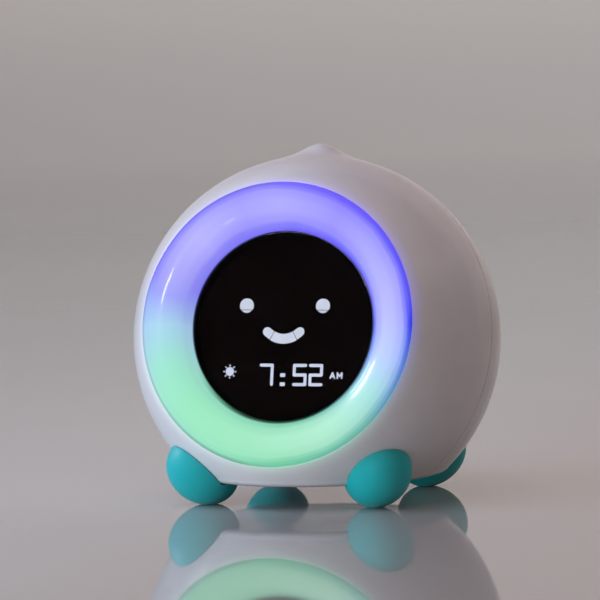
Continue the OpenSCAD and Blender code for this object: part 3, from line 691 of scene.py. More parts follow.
@dataclass(frozen=True)
class HueWheel:
    """The ring's light by its turn about the face: from the left through below, right and above.

    middle is the hue across the ring's crown and rim the deeper hue at its two edges, in sRGB
    0..255.
    """

    middle: HueStops = (
        (0.000, (167, 212, 238)),
        (0.055, (154, 230, 205)),
        (0.125, (151, 233, 188)),
        (0.220, (156, 230, 186)),
        (0.333, (173, 233, 200)),
        (0.408, (168, 227, 220)),
        (0.458, (184, 202, 252)),
        (0.514, (184, 184, 254)),
        (0.667, (150, 141, 253)),
        (0.750, (170, 165, 254)),
        (0.806, (164, 158, 254)),
        (0.875, (181, 177, 255)),
        (0.930, (170, 166, 252)),
        (0.962, (158, 162, 251)),
        (1.000, (167, 211, 236)),
    )
    rim: HueStops = (
        (0.000, (162, 196, 232)),
        (0.083, (152, 220, 196)),
        (0.180, (132, 214, 176)),
        (0.264, (104, 198, 152)),
        (0.375, (104, 178, 164)),
        (0.458, (88, 126, 218)),
        (0.500, (50, 62, 234)),
        (0.530, (88, 84, 243)),
        (0.667, (98, 78, 248)),
        (0.806, (120, 108, 250)),
        (0.944, (132, 126, 246)),
        (1.000, (156, 190, 228)),
    )

    @staticmethod
    def turn(r: Recipe, spot: Socket) -> Socket:
        """Turn about the face as a share: atan2(y, x) over a full circle, plus a half.

        Args:
            r: The material's recipe.
            spot: Coordinates in the face's frame.

        Returns:
            The share, 0 at the left.
        """
        x, y, _ = r.split(spot)
        return r.maths("ADD", r.maths("DIVIDE", r.maths("ARCTAN2", y, x), 2 * math.pi), 0.5)

    @staticmethod
    def distance(r: Recipe, spot: Socket) -> Socket:
        """Distance from the face's axis in millimetres.

        Args:
            r: The material's recipe.
            spot: Coordinates in the face's frame.

        Returns:
            The distance.
        """
        flat = r.node("ShaderNodeVectorMath", operation="MULTIPLY")
        flat.inputs[1].default_value = (1 / MM, 1 / MM, 0)
        r.join(spot, flat.inputs[0])
        length = r.node("ShaderNodeVectorMath", operation="LENGTH")
        r.join(flat.outputs["Vector"], length.inputs[0])
        return length.outputs["Value"]


@dataclass(frozen=True)
class ShellGloss:
    """Glossy white casing plastic: a clear skin with slow waves in it.

    The ring's light on the shell is painted on as a glow: an emission in the rim's hue from
    painted_glow_from to soak millimetres outside the ring's edge, eased by the power
    painted_glow_power.
    At the lip on the left the glow is dimmed by painted shade: lip_shade fades over lip_way
    round the face and over lip_edge outwards. The painted glow fades out between the two
    heights of front_z, because none of the ring's light reaches the rear half.
    """

    name: str = "shell_gloss"
    colour: Triple = (232, 228, 232)
    shade: Triple = (226, 222, 226)
    roughness: float = 0.26
    uneven: float = 0.015
    ring_edge: float = 50.0
    painted_glow_from: float = 0.5
    painted_glow_to: float = 4.5
    painted_glow_power: float = 2.2
    glow: float = 0.3
    lip_shade: float = 0.7
    lip_way: tuple[float, float] = (-0.3, 0.2)
    lip_edge: tuple[float, float] = (0.3, 0.7)
    front_z: tuple[float, float] = (0.030, 0.036)

    def make(self, place: FaceFrame, hues: HueWheel) -> Material:
        """Writes the material.

        Args:
            place: The face's frame.
            hues: The ring's hues.

        Returns:
            The material.
        """
        r = Recipe(self.name)
        where = r.spot()
        waves = r.clouds(where, 45, 2, span=(0.35, 0.65))
        r.feed("Base Color", r.mix(waves, self.colour, self.shade))
        low, high = self.roughness - self.uneven, self.roughness + self.uneven
        r.feed("Roughness", r.clouds(where, 30, 2, low, high, (0.2, 0.8)))
        r.put("Coat Weight", 0.5)
        r.put("Coat Roughness", 0.06)
        r.put("Coat IOR", 1.5)
        spot = r.face_spot(place)
        away = hues.distance(r, spot)
        x, _, z = r.split(spot)
        across = r.maths("DIVIDE", x, r.maths("MULTIPLY", away, MM))
        # Painted glow: the ring's light on the shell is an emission, with painted shade at the left
        # lip.
        left = r.remap(across, *self.lip_way, self.lip_shade, 0, True)
        at_lip = r.remap(away, *(self.ring_edge + v for v in self.lip_edge), 1, 0)
        lip = r.maths("MULTIPLY", left, at_lip)
        first, last = self.ring_edge + self.painted_glow_from, self.ring_edge + self.painted_glow_to
        painted_glow_fade = r.remap(away, first, last, 1, 0)
        near = r.maths("MULTIPLY", painted_glow_fade, r.maths("SUBTRACT", 1.0, lip))
        front = r.remap(z, *self.front_z, 0, 1)
        share = r.maths("MULTIPLY", r.maths("POWER", near, self.painted_glow_power), front)
        r.feed("Emission Color", r.hue(hues.turn(r, spot), hues.rim))
        r.feed("Emission Strength", r.maths("MULTIPLY", share, self.glow))
        r.bump(r.noise(where, 70, 1), 0.03, 0.00003)
        return r.material


@dataclass(frozen=True)
class RingGlow:
    """The ring's milky lens: lit from behind, palest across its crown, deeper in hue at its rims.

    rims is the share of the rim's hue and side the light, both by the share of the ring's width.
    shadow is a painted shadow on the inner rim towards the lower right, which dims its
    light and darkens its base colour, and line is painted shade from the gap, which dims
    the outer rim towards the left. Each fades over its own way round the face and its own
    part of the width. The clear coat goes from the first to the second of coat over
    coat_width. diagonal is the root of 2 in metres.
    """

    name: str = "ring_glow"
    inner: float = 33.6
    outer: float = 50.0
    strength: float = 0.87
    shadow: float = 0.9
    shadow_way: tuple[float, float] = (-0.4, 0.5)
    shadow_width: tuple[float, float] = (0.018, 0.084)
    gap_shade: float = 0.34
    gap_shade_way: tuple[float, float] = (0.15, -0.4)
    gap_shade_width: tuple[float, float] = (0.93, 0.985)
    coat: tuple[float, float] = (0.6, 0.05)
    coat_width: tuple[float, float] = (0.82, 0.9)
    diagonal: float = 0.001414
    rims: tuple[tuple[float, float], ...] = (
        (0.0, 1.0),
        (0.1, 0.8),
        (0.22, 0.28),
        (0.42, 0.0),
        (0.6, 0.04),
        (0.8, 0.24),
        (0.89, 0.72),
        (0.95, 1.0),
    )
    side: tuple[tuple[float, float], ...] = (
        (0.0, 0.12),
        (0.008, 1.0),
        (0.955, 1.0),
        (0.985, 0.95),
        (1.0, 0.85),
    )

    def make(self, place: FaceFrame, hues: HueWheel) -> Material:
        """Writes the material.

        Args:
            place: The face's frame.
            hues: The ring's hues.

        Returns:
            The material.
        """
        r = Recipe(self.name)
        spot = r.face_spot(place)
        away = hues.distance(r, spot)
        x, y, _ = r.split(spot)
        turn = hues.turn(r, spot)
        width = r.remap(away, self.inner, self.outer, 0, 1)
        rims = r.level(r.maths("ADD", width, r.clouds(r.spot(), 60, 2, -0.02, 0.02)), self.rims)
        light = r.mix(rims, r.hue(turn, hues.middle), r.hue(turn, hues.rim))
        # Painted shadow on the inner rim to the lower right, and painted gap shade on the outer rim
        # to the left.
        scaled = r.maths("MULTIPLY", away, self.diagonal)
        lean = r.maths("DIVIDE", r.maths("SUBTRACT", x, y), scaled)
        lower_right = r.remap(lean, *self.shadow_way, 0, self.shadow, True)
        near = r.maths("MULTIPLY", lower_right, r.remap(width, *self.shadow_width, 1, 0, True))
        across = r.maths("DIVIDE", x, r.maths("MULTIPLY", away, MM))
        left = r.remap(across, *self.gap_shade_way, 0, self.gap_shade, True)
        far = r.maths("MULTIPLY", left, r.remap(width, *self.gap_shade_width, 0, 1, True))
        r.feed("Emission Color", r.mix(near, light, light, "MULTIPLY"))
        undimmed = r.maths("SUBTRACT", 1.0, r.maths("ADD", near, far))
        lit = r.maths("MULTIPLY", r.level(width, self.side), undimmed)
        r.feed("Emission Strength", r.maths("MULTIPLY", lit, self.strength))
        # The painted shadow darkens the base colour too.
        r.feed("Base Color", r.mix(near, r.mix(0.8, light, (70, 70, 78)), (6, 6, 14)))
        r.put("Roughness", 0.3)
        r.feed("Coat Weight", r.remap(width, *self.coat_width, *self.coat, True))
        r.put("Coat Roughness", 0.05)
        r.bump(r.noise(r.spot(), 300, 2), 0.02, 0.00003)
        return r.material


@dataclass(frozen=True)
class LitWindow:
    """A small clear window with a lamp behind it, its light slightly clouded."""

    name: str = "window_lit"
    colour: Triple = (226, 232, 250)
    strength: float = 0.9

    def start(self) -> Recipe:
        """Starts the material with the clouded light and the gloss of every window.

        Returns:
            Its recipe.
        """
        r = Recipe(self.name)
        cloud = r.clouds(r.spot(), 260, 1)
        r.feed("Emission Color", r.mix(cloud, self.colour, darker(self.colour, 0.97)))
        r.feed("Roughness", r.clouds(r.spot(), 900, 2, 0.45, 0.6))
        return r

    def make(self) -> Material:
        """Writes the material.

        Returns:
            The material.
        """
        r = self.start()
        r.put("Emission Strength", self.strength)
        r.put("Base Color", (0.25, 0.26, 0.3, 1))
        return r.material


@dataclass(frozen=True)
class SunWindow(LitWindow):
    """The sun's window, with a dim ring on it that parts the disc from the rays.

    inner and outer are the ring's radii and reach the sun's, in millimetres. fade is the share of
    reach over which the light comes back, and dim what is left of it on the ring.
    """

    name: str = "window_sun"
    strength: float = 1.0
    centre: tuple[float, float] = (-19.5, -16.0)
    reach: float = 2.6
    inner: float = 1.5
    outer: float = 1.88
    fade: float = 0.03
    dim: float = 0.12

    def make(self, place: FaceFrame) -> Material:
        """Writes the material.

        Args:
            place: The face's frame.

        Returns:
            The material.
        """
        r = self.start()
        moved = r.node("ShaderNodeVectorMath", operation="SUBTRACT")
        moved.inputs[1].default_value = (self.centre[0] * MM, self.centre[1] * MM, 0)
        r.join(r.face_spot(place), moved.inputs[0])
        far = r.maths("DIVIDE", HueWheel.distance(r, moved.outputs["Vector"]), self.reach)
        a, b = self.inner / self.reach, self.outer / self.reach
        edges = ((a, 1.0), (a + self.fade, self.dim), (b - self.fade, self.dim), (b, 1.0))
        ring = r.level(far, ((0.0, 1.0), *edges, (1.0, 1.0)))
        r.feed("Emission Strength", r.maths("MULTIPLY", ring, self.strength))
        r.put("Base Color", (0.05, 0.05, 0.08, 1))
        return r.material


@dataclass(frozen=True)
class MaskInk:
    """Deep black printing ink with a faint warm cast and next to no sheen."""

    name: str = "mask_black"
    colour: Triple = (24, 4, 0)
    sheen: float = 0.06

    def make(self) -> Material:
        """Writes the material.

        Returns:
            The material.
        """
        r = Recipe(self.name)
        cloud = r.clouds(r.spot(), 400, 3)
        r.feed("Base Color", r.mix(cloud, self.colour, darker(self.colour, 0.7)))
        r.feed("Roughness", r.clouds(r.spot(), 1500, 2, 0.55, 0.7))
        r.put("Specular IOR Level", self.sheen)
        return r.material


@dataclass(frozen=True)
class ClearLens:
    """Clear, slightly smoky acrylic with a polished face."""

    name: str = "lens_clear"
    colour: Triple = (236, 238, 242)

    def make(self) -> Material:
        """Writes the material.

        Returns:
            The material.
        """
        r = Recipe(self.name)
        r.put("Base Color", (*linear(self.colour), 1))
        r.put("Transmission Weight", 1.0)
        r.put("IOR", 1.49)
        r.feed("Roughness", r.clouds(r.spot(), 120, 2, 0.015, 0.05))
        return r.material


@dataclass(frozen=True)
class WorkedMetal:
    """Bare metal with fine drawn lines along one axis."""

    name: str
    colour: Triple
    shade: Triple
    roughness: float = 0.32
    lines: Triple = (1, 1, 40)

    def make(self) -> Material:
        """Writes the material.

        Returns:
            The material.
        """
        r = Recipe(self.name)
        drawn = r.noise(r.spot(self.lines), 220, 4)
        r.feed("Base Color", r.mix(r.remap(drawn, 0.3, 0.7, 0, 1), self.colour, self.shade))
        r.put("Metallic", 1.0)
        low, high = self.roughness - 0.07, self.roughness + 0.1
        r.feed("Roughness", r.remap(drawn, 0.3, 0.7, low, high))
        r.bump(drawn, 0.2, 0.00002)
        return r.material


@dataclass(frozen=True)
class BoardLacquer:
    """Green solder lacquer with straight copper tracks showing through it."""

    name: str = "board_lacquer"
    colour: Triple = (28, 96, 58)
    track: Triple = (52, 132, 84)
    scale: float = 260.0
    track_width: float = 0.09
    track_edge: float = 0.1
    track_length: float = 1.7
    track_step: float = 0.5

    def make(self) -> Material:
        """Writes the material.

        Returns:
            The material.
        """
        r = Recipe(self.name)
        sizes = {
            "Scale": self.scale,
            "Mortar Size": self.track_width,
            "Mortar Smooth": self.track_edge,
            "Brick Width": self.track_length,
            "Row Height": self.track_step,
        }
        tracks = r.texture("ShaderNodeTexBrick", r.spot(), sizes, offset=0.37, squash=0.6)
        r.feed("Base Color", r.mix(tracks.outputs["Fac"], self.colour, self.track))
        r.put("Roughness", 0.3)
        r.put("Coat Weight", 0.5)
        r.bump(tracks.outputs["Fac"], 0.3, 0.00003)
        return r.material


@dataclass(frozen=True)
class Striped:
    """A flat ribbon of parallel leads: bands across X with a round groove between them."""

    name: str = "ribbon_grey"
    colour: Triple = (196, 196, 198)
    shade: Triple = (150, 150, 156)
    scale: float = 250.0

    def make(self) -> Material:
        """Writes the material.

        Returns:
            The material.
        """
        r = Recipe(self.name)
        settings = {"wave_type": "BANDS", "bands_direction": "X"}
        bands = r.texture("ShaderNodeTexWave", r.spot(), {"Scale": self.scale}, **settings)
        r.feed("Base Color", r.mix(bands.outputs["Fac"], self.shade, self.colour))
        r.put("Roughness", 0.5)
        r.bump(bands.outputs["Fac"], 0.4, 0.0001)
        return r.material


@dataclass(frozen=True)
class Fibrous:
    """Pressed paper or rubber: matt, with a fibrous or pitted skin."""

    name: str
    colour: Triple
    shade: Triple
    scale: float = 1200.0
    roughness: float = 0.8

    def make(self) -> Material:
        """Writes the material.

        Returns:
            The material.
        """
        r = Recipe(self.name)
        pits = r.texture("ShaderNodeTexVoronoi", r.spot(), {"Scale": self.scale}, feature="F1")
        r.feed("Base Color", r.mix(pits.outputs["Distance"], self.shade, self.colour))
        r.put("Roughness", self.roughness)
        r.bump(pits.outputs["Distance"], 0.5, 0.00006)
        return r.material


@dataclass(frozen=True)
class PaleTable:
    """A plain pale table top with a clear gloss.

    It is painted with light from the left: colour is its paler left side, with a faint
    painted green reflection in it, and shade its painted shade on the right. It is both
    paler and duller where it rises. In metres, across is how far the painted change from
    left to right takes on each side of the middle, and the raised colour and the dullness
    are full at the heights raised_by and dull_by.
    """

    name: str = "table_pale"
    colour: Triple = (198, 206, 206)
    shade: Triple = (166, 163, 159)
    raised: Triple = (240, 236, 234)
    roughness: float = 0.035
    far: float = 0.3
    across: float = 0.16
    raised_by: float = 0.3
    dull_by: float = 0.25

    def make(self) -> Material:
        """Writes the material.

        Returns:
            The material.
        """
        r = Recipe(self.name)
        x, _, z = r.split(r.spot())
        wander = r.clouds(r.spot(), 3, 3, -0.02, 0.02, (0.35, 0.65))
        # Painted light from the left: paler and faintly green on the left, darker on the right.
        painted_side_light = r.remap(r.maths("ADD", x, wander), -self.across, self.across, 0, 1, True)
        cloud = r.mix(painted_side_light, self.colour, self.shade)
        rise = r.remap(z, 0.0, self.raised_by, 0, 1, True)
        r.feed("Base Color", r.mix(rise, cloud, self.raised))
        grain = r.clouds(r.spot(), 9, 3, self.roughness - 0.01, self.roughness + 0.01)
        dull = r.remap(z, 0.0, self.dull_by, 0, self.far, True)
        r.feed("Roughness", r.maths("ADD", grain, dull))
        r.put("IOR", 1.5)
        return r.material


# ---------------------------------------------------------------------------------------------
# Sub-assemblies


@dataclass
class PanelPlan:
    """What passes through the flat panel at the back, in the face's frame.

    inlet is the inlet's x, y, width and height. chamfer eases each hole's outer edge, and slack is
    how far within a hole's edge a triangle's middle has to lie for it to be left out.
    """

    cap_hole: float = 4.3
    cap_pitch: float = 14.0
    cap_points: int = 48
    row_pitch: float = 12.5
    row_y: float = 6.5
    grille_hole: float = 0.8
    grille_step: float = 2.7
    grille_y: float = -13.0
    grille_points: int = 20
    inlet: tuple[float, float, float, float] = (20.6, -9.0, 9.4, 3.6)
    inlet_points: int = 17
    chamfer: float = 0.25
    slack: float = 0.004

    def circles(self) -> np.ndarray:
        """Centres and radii of the round holes: six for the caps, then rings of 1, 6, 12 and 18.

        Returns:
            Rows of (x, y, r).
        """
        x, y = np.meshgrid([-1, 0, 1], [1, 0])
        x, y = x.ravel() * self.cap_pitch, self.row_y + y.ravel() * self.row_pitch
        made = [np.stack([x, y, np.full(len(x), self.cap_hole)], axis=-1)]
        made.append(np.array([[0.0, self.grille_y, self.grille_hole]]))
        for n in (1, 2, 3):
            a = np.arange(6 * n) * (2 * np.pi / (6 * n))
            x = n * self.grille_step * np.cos(a)
            y = self.grille_y + n * self.grille_step * np.sin(a)
            made.append(np.stack([x, y, np.full(6 * n, self.grille_hole)], axis=-1))
        return np.concatenate(made)

    def loops(self, grow: float) -> list[np.ndarray]:
        """The edges of all holes: circles, and for the inlet a slot with two round ends.

        Args:
            grow: How far they are grown outwards.

        Returns:
            Loops of (x, y).
        """
        made = []
        for x, y, r in self.circles():
            a = full_turn(self.cap_points if r > self.grille_hole else self.grille_points)
            made.append(np.stack([x + (r + grow) * np.cos(a), y + (r + grow) * np.sin(a)], axis=-1))
        x, y, w, h = self.inlet
        a = np.linspace(-np.pi / 2, np.pi / 2, self.inlet_points)
        end = np.stack([np.cos(a), np.sin(a)], axis=-1) * (h / 2 + grow)
        right = end + [x + (w - h) / 2, y]
        made.append(np.concatenate([right, [2 * x, 2 * y] - right]))
        return made

    def in_hole(self, points: np.ndarray, grow: float) -> np.ndarray:
        """Which points lie in a hole.

        Args:
            points: Points (x, y) of shape (n, 2).
            grow: How far the holes are grown outwards.

        Returns:
            A truth value for each point.
        """
        c = self.circles()
        gap = np.linalg.norm(points[:, None, :] - c[None, :, :2], axis=-1) - c[None, :, 2]
        x, y, w, h = self.inlet
        off = points - [x, y]
        reach = np.hypot(np.maximum(np.abs(off[:, 0]) - (w - h) / 2, 0), off[:, 1]) - h / 2
        return (gap.min(axis=1) < grow) | (reach < grow)

    def plate(
        self, rim: np.ndarray, height: float, grow: float
    ) -> tuple[np.ndarray, np.ndarray, list[np.ndarray]]:
        """A flat face inside a rim, with the holes left open, as a constrained Delaunay net.

        Args:
            rim: The outer loop of (x, y).
            height: Height of the face along the face's axis.
            grow: How much the holes are grown.

        Returns:
            Its points, its triangles and the loops of its holes as points.
        """
        loops = [rim, *self.loops(grow)]
        starts = np.cumsum([0, *[len(loop) for loop in loops]])
        edges = [
            (int(start + k), int(start + (k + 1) % len(loop)))
            for start, loop in zip(starts, loops)
            for k in range(len(loop))
        ]
        corners = [Vector(p) for p in np.concatenate(loops)]
        made = delaunay_2d_cdt(corners, edges, [], 0, 1e-6)
        flat = np.array([tuple(p) for p in made[0]])
        faces = np.array([f for f in made[2] if len(f) == 3])
        keep = ~self.in_hole(flat[faces].mean(axis=1), grow - self.slack)
        lifted = [np.column_stack([p, np.full(len(p), height)]) for p in (flat, *loops[1:])]
        return lifted[0], faces[keep], lifted[1:]


@dataclass
class CaseShells:
    """The two half shells: the ball's surface as rows round the face's axis, with its inner wall.

    tongue is its near and far inset and its depth, and rebate its inset and depth. well is how far
    a screw's well stands from the axis, its bore's radius, its wall and its bore's bottom, and seat
    the height of its inner end. overshoot is how far a cutting tool reaches out of the case, and
    inner_clear how far short of the panel and the seam the rear wall's inner rows stop, in radians.
    """

    form: BallForm
    plan: PanelPlan = field(default_factory=PanelPlan)
    wall: float = 2.4
    ring_hole: float = 50.2
    edge: float = 0.4
    seam_gap: float = 0.3
    seam_edge: float = 0.4
    tongue: Triple = (1.4, 2.7, 2.0)
    rebate: tuple[float, float] = (1.3, 2.2)
    panel_rim: float = 28.6
    well: tuple[float, float, float, float] = (54.5, 2.9, 1.5, -5.4)
    well_turns: tuple[float, ...] = (55.0, 125.0, 200.0, 340.0)
    well_steps: int = 64
    seat: float = -3.02
    overshoot: float = 5.0
    door_size: tuple[float, float] = (38.4, 24.4)
    door_y: float = 8.6493
    door_z: float = 8.0
    door_depth: float = 1.6
    door_corner: float = 1.2
    steps: int = 512
    front_rows: int = 70
    rear_rows: int = 96
    inner_rows: int = 26
    edge_rows: int = 6
    inner_clear: tuple[float, float] = (0.02, 0.06)

    def turns(self) -> np.ndarray:
        """The turns about the face's axis at which every row has a point."""
        return full_turn(self.steps)

    def easing(self) -> tuple[np.ndarray, np.ndarray]:
        """A quarter circle's two offsets: growing from 0 to 1, and falling from 1 to 0."""
        quarter = np.linspace(0, np.pi / 2, self.edge_rows)
        return 1 - np.cos(quarter), 1 - np.sin(quarter)

    def front(self) -> Piece:
        """The front half: from the ring's hole over a rounded lip to the seam, and back inside.

        Returns:
            The piece, with the tongue at its seam.
        """
        form, turn, r = self.form, self.turns(), self.form.radius
        grows, falls = self.easing()
        lip = form.at_radii(self.ring_hole + self.edge * grows, self.edge * falls, turn, False)
        first, last = math.asin((self.ring_hole + self.edge) / r), math.acos(self.seam_edge / r)
        outer = form.at_angles(np.linspace(first, last, self.front_rows)[1:-1], turn)
        near, far, deep = self.tongue
        heights = np.concatenate([self.seam_edge * falls, [0, -deep, -deep, 0, 0]])
        insets = np.concatenate([self.seam_edge * grows, [near, near, far, far, self.wall]])
        seam = form.at_heights(heights, insets, turn)
        last = math.asin(self.ring_hole / (r - self.wall))
        angles = np.linspace(np.pi / 2, last, self.inner_rows)[1:-1]
        inner = form.at_angles(angles, turn, self.wall, False)
        back = form.at_radii(np.array([self.ring_hole]), np.array([self.wall]), turn, False)
        rows = np.concatenate([lip, outer, seam, inner, back])
        points = form.place.world(rows.reshape(-1, 3))
        return make_piece("front_case", points, [grid_quads(len(rows), self.steps, True, True)])

    def rear_skin(self) -> np.ndarray:
        """The rear half's rows, from the panel's inside to the seam's rebate, out and back.

        Returns:
            Points of shape (rows, turns, 3) in the face's frame.
        """
        form, turn, r = self.form, self.turns(), self.form.radius
        grows, falls = (offsets[::-1] for offsets in self.easing())
        end = np.pi - math.atan2(self.panel_rim, form.panel)
        near, deep = self.rebate
        at_panel, at_seam = self.inner_clear
        angles = np.linspace(end - at_panel, np.pi / 2 + at_seam, self.inner_rows)
        inner = form.at_angles(angles, turn, self.wall, False)
        heights = -self.seam_gap - np.concatenate([[deep, deep, 0], self.seam_edge * falls])
        insets = np.concatenate([[self.wall, near, near], self.seam_edge * grows])
        seam = form.at_heights(heights, insets, turn)
        first = np.pi / 2 + (self.seam_gap + self.seam_edge) / r
        outer = form.at_angles(np.linspace(first, end, self.rear_rows)[1:-1], turn)
        rim = np.array([self.panel_rim])
        start = form.at_radii(rim, np.array([self.wall]), turn, True)
        last = form.at_radii(rim, np.array([0.0]), turn, True)
        start[..., 2], last[..., 2] = self.wall - form.panel, -form.panel
        return np.concatenate([start, inner, seam, outer, last])

    def rear(self) -> Piece:
        """The rear half: its rows, the panel with its holes, then the wells and the door's place.

        Returns:
            The piece.
        """
        place, panel = self.form.place, self.form.panel
        rows = self.rear_skin()
        net = Patches()
        net.add(rows.reshape(-1, 3), grid_quads(len(rows), self.steps, False, True))
        outside, faces, mouths = self.plan.plate(rows[-1, :, :2], -panel, self.plan.chamfer)
        net.add(outside, faces)
        inside, faces, bores = self.plan.plate(rows[0, :, :2], self.wall - panel, 0.0)
        net.add(inside, faces)
        for mouth, bore in zip(mouths, bores):
            throat = bore.copy()
            throat[:, 2] = self.plan.chamfer - panel
            loops = [np.arange(len(mouth)) + k * len(mouth) for k in range(3)]
            walls = np.concatenate([bridge(loops[0], loops[1]), bridge(loops[1], loops[2])])
            net.add(np.concatenate([mouth, throat, bore]), walls)
        case = make_piece("rear_case", place.world(np.concatenate(net.points)), net.faces)
        for a in np.radians(self.well_turns):
            carve(case, self.post(a), Carving.JOIN)
        for a in np.radians(self.well_turns):
            carve(case, self.bore(a), Carving.CUT)
        carve(case, self.recess(), Carving.CUT)
        return case

    def post(self, turn: float) -> Piece:
        """A screw post: circles from its seat to a cap that follows the ball's wall from inside.

        Args:
            turn: Where it stands about the face's axis, in radians.

        Returns:
            The post.
        """
        at, bore, wall, _ = self.well
        radius = np.array([0.001, 1.0, 1.0, 0.66, 0.33, 0.001]) * (bore + wall)
        a = full_turn(self.well_steps)
        x = at * math.cos(turn) + radius[:, None] * np.cos(a)
        y = at * math.sin(turn) + radius[:, None] * np.sin(a)
        skin = -np.sqrt((self.form.radius - self.wall / 2) ** 2 - x**2 - y**2)
        at_seat = np.arange(len(radius)) < 2
        z = np.where(at_seat[:, None], self.seat, skin)
        points = self.form.place.world(np.stack([x, y, z], axis=-1).reshape(-1, 3))
        return make_piece("post", points, stack_faces(len(radius), self.well_steps))

    def bore(self, turn: float) -> Piece:
        """The tool that bores a post from behind: circles from outside the ball to its bottom.

        Args:
            turn: Where the post stands about the face's axis, in radians.

        Returns:
            The tool.
        """
        at, bore, _, bottom = self.well
        z = np.array([-self.form.radius - self.overshoot, bottom])
        a = full_turn(self.well_steps)
        x = at * math.cos(turn) + bore * np.cos(a) + 0 * z[:, None]
        y = at * math.sin(turn) + bore * np.sin(a) + 0 * z[:, None]
        grid = np.stack([x, y, z[:, None] + 0 * x], axis=-1)
        points = self.form.place.world(grid.reshape(-1, 3))
        return make_piece("bore", points, stack_faces(len(z), self.well_steps))

    def recess(self) -> Piece:
        """The tool that sinks the battery door's place: a box with rounded corners.

        Returns:
            The tool, from a millimetre under the belly up to the place's depth.
        """
        w, d = self.door_size
        corners = np.array([[-w, -d], [w, -d], [w, d], [-w, d]]) / 2 + [0, self.door_y]
        loop = round_corners(corners, np.full(4, self.door_corner))
        ends = (self.door_z - 1, self.door_z + self.door_depth)
        points = np.concatenate([np.column_stack([loop, np.full(len(loop), h)]) for h in ends])
        return make_piece("recess", points, stack_faces(len(ends), len(loop)))


@dataclass
class RingLight:
    """The glowing ring: one turned profile, its front an arc from the display to the outer edge.

    ledge is its inner radius with its upper and lower height, and flange its outer radius with its
    upper and lower height. Its sides run straight for side_run and brow_run under the eased rims,
    each of which takes in the arc's last eased_rows points. clear keeps the arc's inner points off
    the skirt and the inner wall.
    """

    place: FaceFrame
    inner: float = 33.6
    outer: float = 50.0
    inner_z: float = 35.8121
    outer_z: float = 42.9121
    bulge: float = 3.0
    wall: float = 2.0
    lip: float = 0.35
    brow: float = 0.2
    ledge: Triple = (31.6, 32.7121, 30.7121)
    skirt_in: float = 47.8
    flange: Triple = (51.8, 35.93, 34.23)
    side_run: float = 1.5
    brow_run: float = 1.0
    clear: float = 0.1
    front_rows: int = 60
    under_rows: int = 24
    eased_rows: int = 4
    steps: int = 384

    def arc(self, inset: float, count: int) -> np.ndarray:
        """Points along the front's circle, whose radius is chord^2 / (8 bulge) + bulge / 2.

        Args:
            inset: How far inside the circle they lie.
            count: How many there are.

        Returns:
            Points (r, z), from the display outwards.
        """
        a, b = np.array([self.inner, self.inner_z]), np.array([self.outer, self.outer_z])
        chord = float(np.linalg.norm(b - a))
        radius = chord**2 / (8 * self.bulge) + self.bulge / 2
        side = np.array([a[1] - b[1], b[0] - a[0]]) / chord
        middle = (a + b) / 2 - (radius - self.bulge) * side
        first, last = (math.atan2(*(p - middle)[::-1]) for p in (a, b))
        t = np.linspace(first, last, count)
        return middle + (radius - inset) * np.stack([np.cos(t), np.sin(t)], axis=-1)

    def build(self) -> Piece:
        """The ring as a turned piece with eased rims.

        Returns:
            The piece.
        """
        front = self.arc(0.0, self.front_rows)
        tip, low = front[-1], front[0]
        inside, skirt = self.inner + self.wall, self.skirt_in
        under = self.arc(self.wall, self.under_rows)[::-1]
        under = under[(under[:, 0] < skirt - self.clear) & (under[:, 0] > inside + self.clear)]
        flange, flange_top, flange_low = self.flange
        ledge, ledge_top, ledge_low = self.ledge
        heel = [[self.outer, tip[1] - self.side_run], [self.outer, flange_top]]
        heel += [[flange, flange_top], [flange, flange_low]]
        heel += [[skirt, flange_low], [skirt, under[0][1]]]
        foot = [[inside, under[-1][1]], [inside, ledge_low]]
        foot += [[ledge, ledge_low], [ledge, ledge_top]]
        foot += [[self.inner, ledge_top], [self.inner, low[1] - self.brow_run]]
        first, last = front[self.eased_rows], front[-self.eased_rows]
        edge = round_corners(np.array([last, tip, heel[0]]), [0, self.lip, 0], 8)[1:-1]
        brow = round_corners(np.array([foot[-1], low, first]), [0, self.brow, 0])[1:-1]
        middle = front[(front[:, 1] > brow[-1][1]) & (front[:, 0] < edge[0][0])]
        profile = np.concatenate([brow, middle, edge, np.array(heel), under, np.array(foot)])
        points, quads = lathe(profile, self.steps)
        return make_piece("ring_lens", self.place.world(points), [quads])


@dataclass
class DisplayLens:
    """The clear disc over the display, with an eased front edge.

    flat and collar are how far from its edge the faces' outermost two rows lie.
    """

    place: FaceFrame
    radius: float = 33.4
    front: float = 35.5121
    back: float = 33.7121
    ease: float = 0.15
    flat: float = 1.2
    collar: float = 1.0
    steps: int = 256

    def build(self) -> Piece:
        """The lens as a turned piece, with rows beside the easing that keep its faces flat.

        Returns:
            The piece.
        """
        r, f, b, e = self.radius, self.front, self.back, self.ease
        near, far = r - self.collar, r - self.flat
        corners = np.array([[near, f], [r, f], [r, b], [near, b]])
        side = round_corners(corners, np.array([0, e, e / 2, 0]))
        face = np.array([[0.0, f], [r * 0.5, f], [far, f]])
        rear = np.array([[far, b], [r * 0.5, b], [0.0, b]])
        points, quads = lathe(np.concatenate([face, side, rear]), self.steps)
        return make_piece("display_cover", self.place.world(points), [quads], 2 * WELD)


